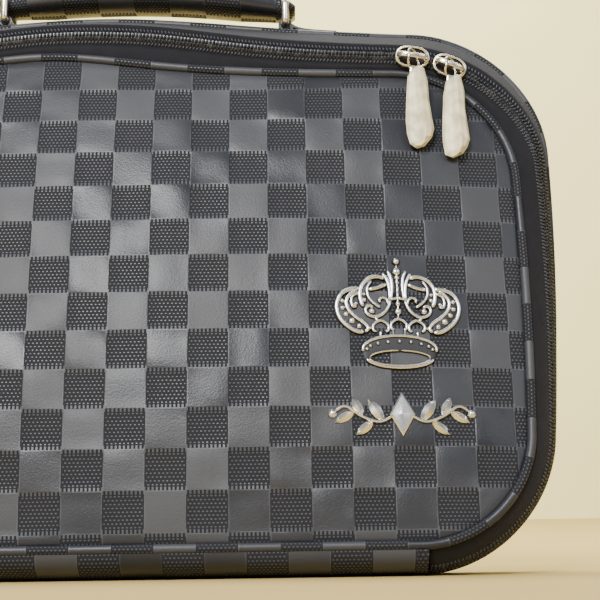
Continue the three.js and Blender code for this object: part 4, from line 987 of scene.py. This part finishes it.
def chape_grid(side, place):
    x, y, low = place["x"], place["y"], place["low"]
    radius = RING_WIRE + FIT_GAP + CHAPE_LEATHER / 2
    depth = seam_top(SEAMS["rear"], x)[1] - seam_top(SEAMS["middle"], x)[1]
    outs = np.linspace(CHAPE_LENGTH, radius * 1.2, 16)
    turns = np.radians(np.linspace(-70, 230, 28))
    rows = []
    for across in np.linspace(-0.5, 0.5, 15):
        share = 0.5 + across * CHAPE_WIDTH / depth
        py = y + across * CHAPE_WIDTH
        lift = [0, py, FIT_GAP + CHAPE_LEATHER / 2]
        under = [gusset_top(x + side * o, share) * [1, 0, 1] + lift for o in outs]
        loop = [np.array([x + side * radius * math.sin(a), py, low - radius * math.cos(a)])
                for a in np.pi * 2 - turns[::-1] - math.radians(60)]
        over = [p + [0, 0, CHAPE_LEATHER * 1.15 + TAB_RAISE * math.exp((outs[-1] - o) / TAB_SLOPE)]
                for p, o in zip(under[::-1], outs[::-1])]
        rows.append(under + loop[4:-2] + over)
    return np.array(rows)


for side, sign in (("left", -1), ("right", 1)):
    place = RINGS[side]
    grid = chape_grid(sign, place)
    tab = grid_piece("leather_tab_" + side, grid)
    give_wall(tab, CHAPE_LEATHER, 0.0)
    dress(tab, DARK_LEATHER, "dark_leatherette", "chape_" + side, crease=60)
    top = grid[:, -16:]
    seam_rows = np.vstack([top[2, 5:], top[2:13, -2][1:], top[12, 5:][::-1][1:]]) + [0, 0, CHAPE_LEATHER / 2]
    facing = np.tile([0.0, 0.0, 1.0], (len(seam_rows), 1))
    studs("tab_stitches_" + side, seam_rows, facing, THREAD, "dark_leatherette", Pitch=2.6 * MM,
          Length=1.9 * MM, Width=0.6 * MM, Height=0.5 * MM, Side_Offset=0.0, Stagger=0.0)

# %% [markdown]
# ## Sliders
# A slider is a plate with two lips that wrap the tapes, and a bridge that holds the pull. The frame's joint
# gives the middle of the bridge, and the chain gives the direction that the slider faces.

# %% Solids from rings
def loft(name, rings):
    return grid_piece(name, np.array(rings), loop_cols=True, close=True)


def join_solids(name, pieces):
    """One object from several closed solids."""
    work = bmesh.new()
    for piece in pieces:
        work.from_mesh(piece.data)
    mesh = bpy.data.meshes.new(name)
    work.to_mesh(mesh)
    work.free()
    for piece in pieces:
        bpy.data.objects.remove(piece)
    return to_object(name, mesh)


def put_at(piece, axes, origin):
    """Moves a mesh that was made in millimetres into the bag's frame."""
    matrix = Matrix(np.array(axes).T.tolist()).to_4x4()
    piece.data.transform(Matrix.Translation(Vector(origin)) @ matrix @ Matrix.Scale(MM, 4))


# %% Slider body and bridge
JOINTS = {j["name"]: j for j in frame["joints"]}
SLIDER_LENGTH, SLIDER_WIDTH, SLIDER_POWER = 17.0, 10.6, 2.5
BRIDGE_REACH, BRIDGE_FOOT = 7.0, 0.9
BRIDGE_TOP = 5.4  # middle of the bridge's bar over the slider's base
LIP_AWAY, LIP_SIZE = 4.7, (9.0, 1.2)
LIP_LEVELS = [(-2.4, 0.85), (-2.2, 1.0), (0.5, 1.0), (0.7, 0.9)]  # height and share of the outline


def slider_axes(side):
    joint = JOINTS["pull_%s_swing" % side]
    pivot, x = np.array(joint["pos_m"]), -np.array(joint["axis"])
    away = np.abs(zip_place[:, 0] - pivot[0]) + (zip_place[:, 2] < 0.15)  # only the upper part of the zip
    z = zip_t[np.argmin(away)]
    z = unit(z - z.dot(x) * x)
    return (x, np.cross(z, x), z), pivot - z * BRIDGE_TOP * MM


# Sections of the plate: height and share of its outline. The middle is sunk.
PLATE_LEVELS = [(-0.55, 0.90), (-0.35, 0.985), (0.0, 1.0), (0.9, 1.0), (1.3, 0.96), (1.4, 0.9), (1.36, 0.84),
                (1.1, 0.79), (0.5, 0.76), (0.4, 0.6), (0.4, 0.2)]


def levelled(name, outline, levels, shift=0):
    """A solid of one outline at several levels, each in its own size."""
    return loft(name, [[[x * k, shift + y * k, z] for x, y in outline] for z, k in levels])


def slider_solid(name):
    outline = superellipse(SLIDER_LENGTH, SLIDER_WIDTH, SLIDER_POWER, 48)
    section = superellipse(2.6, 1.3, 3.0, 16)
    rings = []
    for a in np.linspace(0, math.pi, 33):
        high = BRIDGE_FOOT + (BRIDGE_TOP - BRIDGE_FOOT) * math.sqrt(math.sin(a))
        place = np.array([BRIDGE_REACH * math.cos(a), 0, high])
        out = unit(np.array([4.5 * math.cos(a), 0, 6.0 * math.sin(a)]))
        rings.append([place + [0, s, 0] + out * t for s, t in section])
    lip = superellipse(*LIP_SIZE, 4.0, 20)
    lips = [levelled("lip", lip, LIP_LEVELS, side * LIP_AWAY) for side in (1, -1)]
    return join_solids(name, [levelled("plate", outline, PLATE_LEVELS), loft("bridge", rings), *lips])


def mark_shaded_floor(piece):
    """Keeps 0 in the sunk middle of the plate and 1 elsewhere, so that the finish paints shade into the sunk
    middle.
    """
    half = np.array([SLIDER_LENGTH, SLIDER_WIDTH]) / 2
    places = np.array([v.co for v in piece.data.vertices])
    away = ((np.abs(places[:, :2]) / half) ** SLIDER_POWER).sum(1) ** (1 / SLIDER_POWER)
    sunk = (away < 0.8) & (places[:, 2] > 0.3) & (places[:, 2] < 1.2) & (np.abs(places[:, 0]) < 6.3)
    note(piece.data, "rise", np.where(sunk, 0.0, 1.0))


for side in ("left", "right"):
    piece = slider_solid("metal_slider_" + side)
    # The sunk middle of the plate is marked for painted shade.
    mark_shaded_floor(piece)
    axes, origin = slider_axes(side)
    put_at(piece, axes, origin)
    dress(piece, SHADED_NICKEL, "nickel", "slider_" + side, crease=45)

# %% [markdown]
# ## Pulls and their film
# Each pull hangs from the bridge by a twisted wire eye, and a flat tab widens below it. The cloudy film it
# was sold in is still on: a tight sleeve of stiff facets. Both swing together, so both ride on the pull's
# body.

# %% Directions of a pull
def pull_axes(side):
    """The frame's film solid is symmetric, so its own main directions give the pull's."""
    points = np.array([v.co for v in frame["nodes"]["pull_film_" + side].data.vertices])
    points = np.unique(points.round(6), axis=0)
    _, ways = np.linalg.eigh(np.cov((points - points.mean(0)).T))
    pivot = np.array(JOINTS["pull_%s_swing" % side]["pos_m"])
    down, out = ways[:, 2], ways[:, 0]
    rise = down * np.sign(down.dot(pivot - points.mean(0)))
    out = out * np.sign(-out[1])
    return (np.cross(out, rise), out, rise), pivot


EYE_TOP, EYE_DROP, EYE_TWIST, EYE_WIRE = 2.6, 7.5, 50, 0.6
TAB_LENGTH, TAB_HALF, TAB_THICK = 39, 5.7, 1.6
TAB_TABLE = np.array([[0, 0.36], [0.25, 0.62], [0.55, 0.86], [0.8, 1], [0.92, 0.94], [1, 0.66]])
EYE_LINE = [(0, EYE_TOP), (1.92, 2.35), (2.88, 1.2), (3.2, -0.4), (3.2, -3.4), (2.56, -5.6),
            (1.44, -EYE_DROP)]


def catmull(points, steps, closed=False):
    """A smooth line through points."""
    points = np.array(points, float)
    if closed:
        padded = np.vstack([points[-1:], points, points[:2]])
    else:
        padded = np.vstack([2 * points[0] - points[1], points, 2 * points[-1] - points[-2]])
    line = []
    for a, b, c, d in zip(padded, padded[1:], padded[2:], padded[3:]):
        for t in np.arange(steps) / steps:
            line.append(0.5 * (2 * b + (c - a) * t + (2 * a - 5 * b + 4 * c - d) * t**2
                               + (3 * b - a - 3 * c + d) * t**3))
    return np.array(line if closed else line + [points[-1]])


def eye_solid():
    flat = np.array(EYE_LINE + [(-x, z) for x, z in reversed(EYE_LINE[1:])])
    line = catmull(flat, 5, closed=True)
    turn = np.radians(EYE_TWIST) * np.clip(1 + (line[:, 1] + 2) / (EYE_DROP - 2), 0, 1)
    centres = np.stack([line[:, 0] * np.cos(turn), line[:, 0] * np.sin(turn), line[:, 1]], -1)
    outward = centres - [0, 0, (EYE_TOP - EYE_DROP) / 2]
    return tube("eye", centres, outward, EYE_WIRE, 10, True)


def tab_width(down):
    smooth = catmull(TAB_TABLE, 8)
    return np.interp(down, smooth[:, 0], smooth[:, 1]) * TAB_HALF


def tab_solid():
    rings = []
    for down in np.concatenate([[0, 0.004], np.linspace(0.02, 0.98, 24), [0.996, 1]]):
        near = 0.6 if down in (0, 1) else 1
        section = superellipse(2 * tab_width(down) * near, TAB_THICK * near, 5, 24)
        rings.append([[x, y, -EYE_DROP + 0.6 - down * TAB_LENGTH] for x, y in section])
    return loft("tab", rings)


# %% Crumpled sleeve
FILM_OVER = 0.8  # film outside the metal, all round
# Each row: share of the way down, left and right half widths in shares of the tab's, slope across.
FILM_TABLE = [
    (0.0, 0.95, 1.35, 0.55), (0.04, 1.08, 1.6, 0.5), (0.2, 1.1, 1.5, 0.25), (0.42, 1.04, 1.16, 0.1),
    (0.66, 1.03, 1.04, 0.05), (0.82, 1.0, 1.06, 0.15), (0.94, 0.92, 0.94, 0.3), (1.0, 0.62, 0.6, 0.35),
]
# The facets of a row: across in half widths and out in half thicknesses, ridge at the front.
FILM_SECTION = [(-1, 0.1), (-0.78, 0.95), (-0.15, 1.15), (0.36, 2.6), (0.8, 1.2), (1, -0.1), (0.7, -0.95),
                (-0.7, -0.95)]
FILM_CRUSH = 0.9
noise.seed_set(4)  # without a seed of its own, the noise starts from the clock


def film_solid(name, seed):
    """A stiff crumpled sleeve of flat facets, with a slanted mouth and foot and a ridge down the front."""
    rings = []
    for number, (down, left, right, slope) in enumerate(FILM_TABLE):
        end = 0.7 if number in (0, len(FILM_TABLE) - 1) else 1
        level = -EYE_DROP - 1.0 - down * (TAB_LENGTH + 0.8)
        half = tab_width(down) + FILM_OVER
        thick = (TAB_THICK / 2 + FILM_OVER) * end
        ring = []
        for place, (across, out) in enumerate(FILM_SECTION):
            crush = noise.noise_vector(Vector((seed + place * 1.7, number * 1.3, seed * 0.37))) * FILM_CRUSH
            x = -across * half * (right if across > 0 else left)
            z = level - slope * x
            ring.append([x + crush.x / 2, thick * out + abs(crush.y) * np.sign(out), z + crush.z])
        rings.append(ring)
    return loft(name, rings)


for number, side in enumerate(("left", "right")):
    body = "pull_" + side
    axes, pivot = pull_axes(side)
    metal = join_solids("metal_pull_" + side, [eye_solid(), tab_solid()])
    put_at(metal, axes, pivot)
    dress(metal, NICKEL, "nickel", "pull_" + side, body=body, crease=45)
    sleeve = film_solid("film_sleeve_" + side, 3.7 + 11 * number)
    put_at(sleeve, axes, pivot)
    dress(sleeve, FILM, "film", "pull_film_" + side, body=body, crease=2)

# %% [markdown]
# ## Crown
# The crown is a small casting: scrolls, beads and a band, all with rounded tops over a dark ground. Each
# scroll is a rounded strip along a smooth line, each bead a low dome. The tables give the right half, and
# the left half mirrors it. The relief is laid on the curved cover, so no edge stands off.

# %% Relief pieces
CROWN_THICK = 1.6
RELIEF_FOOT = -0.3  # shapes start a little under the cover's face
RELIEF_LIFT = 0.1 * MM
STRIP_TOP = [(-1, 0), (-0.94, 0.5), (-0.62, 0.88), (0, 1), (0.62, 0.88), (0.94, 0.5), (1, 0)]


class Relief:
    """Collects closed shapes drawn in millimetres, x along, y up and z out of the cover."""

    def __init__(self):
        self.points, self.faces = [], []

    def rings(self, rings, closed=False):
        start, size = len(self.points), len(rings[0])
        self.points.extend(p for ring in rings for p in ring)
        count = len(rings)
        for r in range(count if closed else count - 1):
            for k in range(size):
                a, b = start + r * size, start + (r + 1) % count * size
                self.faces.append((a + k, b + k, b + (k + 1) % size, a + (k + 1) % size))
        if not closed:
            self.faces.append(tuple(start + k for k in range(size)))
            self.faces.append(tuple(start + (count - 1) * size + k for k in reversed(range(size))))

    def strip(self, line, half, top, steps=5):
        line = catmull(line, steps) if len(line) > 2 else np.linspace(line[0], line[1], 8)
        along = unit(np.gradient(line, axis=0))
        side = np.stack([-along[:, 1], along[:, 0]], -1)
        way = lengths(line)
        ends = np.minimum(way, way[-1] - way)
        rings = []
        for p, s, e in zip(line, side, ends):
            k = math.sqrt(min(1.0, 0.12 + e / half))
            high = (0.4 + 0.6 * k) * (top - RELIEF_FOOT)
            rings.append([(*(p + s * a * half * k), RELIEF_FOOT + b * high) for a, b in STRIP_TOP])
        self.rings(rings)

    def bead(self, x, y, radius, top):
        rings = []
        for a in np.radians([0, 18, 36, 54, 70, 84]):
            r = radius * math.cos(a)
            high = RELIEF_FOOT + (top - RELIEF_FOOT) * math.sin(a)
            rings.append([(x + r * math.cos(t), y + r * math.sin(t), high)
                          for t in np.linspace(0, 2 * math.pi, 14, endpoint=False)])
        self.rings(rings)

    def plate(self, outline, top):
        outline = np.array(outline, float)
        centre = outline.mean(0)
        inner = centre + (outline - centre) * 0.94
        levels = ((outline, RELIEF_FOOT), (outline, top * 0.8), (inner, top))
        self.rings([[(x, y, z) for x, y in line] for line, z in levels])


def ellipse(cx, cy, rx, ry, start, stop, steps):
    a = np.radians(np.linspace(start, stop, steps + 1))
    return np.stack([cx + rx * np.cos(a), cy + ry * np.sin(a)], -1)


def lay_on_front(name, shapes, x0, up0, polish=0.0):
    """Lays a relief on the front cover at x0 and up0. Its rise, at least polish, is kept as an attribute."""
    points = np.array(shapes.points)
    laid = front_face.point(*(points * MM + [x0, up0, RELIEF_LIFT]).T)
    mesh = bpy.data.meshes.new(name)
    mesh.from_pydata(laid.tolist(), [], shapes.faces)
    note(mesh, "rise", lerp(polish, 1, np.clip(points[:, 2] / CROWN_THICK, 0, 1)))
    piece = to_object(name, mesh)
    tidy_faces(piece, close=False)
    return piece


# %% Tables of the crown's right half
STROKES = [
    (0.75, [(3.3, 32.4), (2.4, 39), (2.9, 44.4), (4.4, 47.8)]),
    (0.75, [(3.6, 32.4), (3.7, 39), (4.9, 43.6), (6.8, 46.4)]),
    (0.9, [(5.6, 43.6), (8.8, 44.7), (12.6, 43.8), (15.8, 40.9), (17.2, 36.8), (16.9, 32.6), (15.7, 29.6)]),
    (0.8, [(4.6, 41), (8.8, 39.2), (13.4, 38.1)]),
    (0.6, [(11.6, 42.8), (13.7, 39.1), (13.5, 35), (11.3, 31.8), (8, 29.2)]),
    (0.7, [(3.3, 33.2), (4.4, 29.7), (7, 26.3), (10.5, 24.7), (13.8, 25.9), (14.9, 28.4), (13.2, 30.2),
           (11.2, 29)]),
    (0.6, [(4.4, 30.6), (4.9, 33.2), (6.7, 34.2), (8.4, 33.2), (7.9, 31.6)]),
    (0.9, [(16.6, 38.6), (21.7, 38.2), (26, 35.6), (28, 30.3), (27, 25), (23.9, 20.9), (19.6, 17.9),
           (15.6, 17.3)]),
    (0.8, [(15.6, 17.3), (14, 19.1), (15.6, 21.8), (19.8, 25), (23.1, 29.1), (23.4, 33.2), (21, 36.4),
           (18.6, 38)]),
    (0.6, [(17.2, 36.6), (20.4, 35), (21.3, 32), (20.4, 29.6), (18.6, 30)]),
    (0.7, [(10.8, 25), (9, 22)]),
    (0.6, [(0, 34), (3.6, 33.4)]),
    (0.6, [(10.9, 19.6), (14.4, 19)]),
    (0.6, [(8.2, 18), (8.6, 15)]),
]
BEADS = [(15.4, 35.8, 1), (15.3, 33, 1.2), (11.9, 27.6, 1.5), (19.3, 31, 1.1), (25.3, 32.4, 1.2),
         (25.3, 29, 1.3), (23.8, 25.9, 1.4), (21.2, 22.8, 1.7), (18, 20.2, 1.4)]
COLUMN = [(27.5, 1.8), (31.2, 1.4), (34.2, 1.1), (36.8, 0.9), (39.2, 0.9), (41.8, 1.1), (44.3, 1.4),
          (47.4, 2.1), (52.5, 1.8)]
SCROLL = [(-1.9, -2), (-3.4, -1.2), (-3.2, 1.4), (0, 3.4), (3.2, 1.4), (3.4, -1.2), (1.9, -2)]
SCROLLS = [(-8.2, 19.6), (0, 20.4), (8.2, 19.6)]
WEBS = [
    [(15.6, 17.3), (19.6, 17.9), (23.9, 20.9), (27, 25), (28, 30.3), (26, 35.6), (23.1, 29.1), (19.8, 25),
     (15.6, 21.8)],
    [(11.6, 42.8), (13.7, 39.1), (13.5, 35), (15.7, 30), (17.2, 36.8), (15.8, 40.9)],
]
EMBLEM_X, CROWN_UP, SPRIG_UP = 121 * MM, 91.5 * MM, 70.5 * MM


# %% Build the crown
def crown_shapes():
    crown, low, bold = Relief(), CROWN_THICK * 0.9, 1.3
    for side in (1, -1):
        for half, line in STROKES:
            crown.strip([(side * x, y) for x, y in line], half * bold, low)
        for x, y, r in BEADS:
            crown.bead(side * x, y, r * 1.1, CROWN_THICK)
        for web in WEBS:
            crown.plate([(side * x, y) for x, y in web], low * 0.35)
        crown.strip([(side * 2.7, 18.6), (side * 2.7, 15)], 0.6, low)
    crown.strip([(0, 22), (0, 53)], 0.6, low * 0.8)
    for y, r in COLUMN:
        crown.bead(0, y, r * 1.1, CROWN_THICK)
    for x, y in SCROLLS:
        crown.strip([(x + dx, y + dy) for dx, dy in SCROLL], 0.8, low)
    outer = np.vstack([ellipse(0, 9.2, 17.2, 7, 0, 180, 24), ellipse(0, 5.2, 15.9, 5.4, 180, 360, 24)])
    angles = np.concatenate([np.linspace(0, 180, 25), np.linspace(180, 360, 25)])
    inner = np.stack([13 * np.cos(np.radians(angles)), 5 + 3.1 * np.sin(np.radians(angles))], -1)
    band_levels = [(0, RELIEF_FOOT), (0, low * 0.2), (0.1, low * 0.3), (0.9, low * 0.3), (1, low * 0.2),
                   (1, RELIEF_FOOT)]
    band = [[(*lerp(o, i, share), z) for share, z in band_levels] for o, i in zip(outer, inner)]
    crown.rings(band, closed=True)
    crown.strip(ellipse(0, 9.2, 16.7, 6.5, -12, 192, 16), 0.85, low, 2)
    crown.strip(ellipse(0, 5.3, 15.2, 4.9, 184, 356, 16), 0.75, low, 2)
    crown.strip(ellipse(0, 5.0, 13.6, 3.6, 90, 450, 32), 0.55, low * 0.9, 2)
    for angle in np.radians(np.linspace(8, 172, 9)):
        crown.bead(14.9 * math.cos(angle), 8.6 + 4.4 * math.sin(angle), 1.05, CROWN_THICK)
    return crown


dress(lay_on_front("crown_relief", crown_shapes(), EMBLEM_X, CROWN_UP), SILVER, "silver", "crown", crease=50)

# %% [markdown]
# ## Sprig
# Below the crown a lozenge stands between two leafy stems. It is polished like the crown, and each leaf has
# a ridge down its middle, so that it catches the light.

# %% Build the sprig
SPRIG_THICK = 1.6
STEM = [(3, 0), (10, -3.4), (18, -1), (25, 3.6), (30, 1.4)]
LEAVES = [(8.4, -3, 56, 12), (13, -3.2, -38, 10), (17.6, -0.6, 62, 10), (21.4, 1.2, -30, 10)]
LEAF_TOP = [(-1, -0.19), (-1, 0.25), (-0.5, 0.62), (0, 1), (0.5, 0.62), (1, 0.25), (1, -0.19)]
LOZENGE = [(5.6, 0), (0, 10), (-5.6, 0), (0, -10)]
LOZENGE_LEVELS = [(1, RELIEF_FOOT), (1, 0.7), (0.86, 1.2), (0.55, 1.25), (0.1, 1.7)]
LEAF_HALF = [(0, 0.02), (0.12, 0.11), (0.3, 0.185), (0.5, 0.205), (0.7, 0.165), (0.88, 0.075), (1, 0.01)]


def leaf_rings(x, y, turn, length, side):
    turn = math.radians(turn)
    ahead = np.array([math.cos(turn), math.sin(turn)])
    across = np.array([-ahead[1], ahead[0]])
    rings = []
    for way, half in LEAF_HALF:
        p = np.array([x, y]) + ahead * way * length
        high = SPRIG_THICK * (0.35 + 0.6 * math.sqrt(max(0.0, 1 - (2 * way - 0.9) ** 2)))
        flat = [(p + across * s * half * length, h * high) for s, h in LEAF_TOP]
        rings.append([(side * q[0], q[1], z) for q, z in flat])
    return rings


def sprig_shapes():
    sprig = Relief()
    sprig.rings([[(x * k, y * k, z) for x, y in LOZENGE] for k, z in LOZENGE_LEVELS])
    for side in (1, -1):
        sprig.strip([(side * x, y) for x, y in STEM], 0.8, SPRIG_THICK * 0.75)
        sprig.bead(side * 31, 0.4, 2.2, SPRIG_THICK)
        for x, y, turn, length in LEAVES:
            sprig.rings(leaf_rings(x, y, turn, length, side))
    return sprig


sprig = lay_on_front("sprig_relief", sprig_shapes(), EMBLEM_X, SPRIG_UP, polish=0.7)
dress(sprig, SILVER, "silver", "ornament", crease=32)

# %% [markdown]
# ## Table, wall and light
# The bag stands on a beige table in front of a cream wall, and far behind the bag the table rises a little
# to the wall's foot. A large soft light stands in front and to the left, high enough for its reflection to
# fall on the left half of the cover, as in the photograph. The wall has a light of its own.

# %% Stage
def matt(name, tone):
    made = new_finish(name, Roughness=0.8, Specular_IOR_Level=0.2)
    return fill(made, Base_Color=mix(step(noise_at(made, 3.0, 3.0), 0.35, 0.65), tone, darker(tone, 0.95)))


def stage_piece(name, lines, finish):
    """A flat piece of the scene between two lines across the view, each at a distance and a height."""
    (y0, z0), (y1, z1) = lines
    corners = [(-STAGE, y0, z0), (STAGE, y0, z0), (STAGE, y1, z1), (-STAGE, y1, z1)]
    mesh = bpy.data.meshes.new(name)
    mesh.from_pydata(corners, [], [(0, 1, 2, 3)])
    mesh.materials.append(finish)
    to_object(name, mesh)


STAGE = 4  # metres to either side, to the front and up
FLAT_END, WALL_FOOT = (0.3, 0), (1.6, 0.05)
TABLE_FINISH = matt("table", rgb(0.59, 0.43, 0.15))
stage_piece("table", [(-STAGE, 0), FLAT_END], TABLE_FINISH)
stage_piece("table_back", [FLAT_END, WALL_FOOT], TABLE_FINISH)
stage_piece("wall", [WALL_FOOT, (WALL_FOOT[0], STAGE)], matt("wall", rgb(0.89, 0.81, 0.37)))


# %% Lights
def soft_light(name, place, target, size, watts):
    data = bpy.data.lights.new(name, "AREA")
    data.shape, data.size, data.energy = "SQUARE", size, watts
    lamp = bpy.data.objects.new(name, data)
    lamp.location = place
    lamp.rotation_euler = (Vector(target) - Vector(place)).to_track_quat("-Z", "Y").to_euler()
    bpy.context.scene.collection.objects.link(lamp)


LIGHTS = (  # place, what it looks at, size in metres and watts
    ("key", (-0.34, -1.38, 1.06), (-0.03, 0, 0.14), 0.55, 42),
    ("fill", (1.1, -1.1, 0.9), (0, 0, 0.12), 0.9, 7),
    ("low fill", (-0.7, -1.2, 0.25), (0, 0, 0.05), 0.5, 2),
    ("top", (-0.1, 0.35, 1.3), (0, 0.02, 0.25), 0.6, 6),
    ("wall wash", (0.1, 0.55, 1.35), (0.1, 1.6, 0.4), 1.2, 52),
)
for light in LIGHTS:
    soft_light(*light)
world = bpy.data.worlds.new("room")
world.use_nodes = True
sky = world.node_tree.nodes["Background"]
put(sky, "Color", rgb(0.9, 0.91, 0.92))
put(sky, "Strength", 0.4)
bpy.context.scene.world = world
print("lights:", [light[0] for light in LIGHTS])
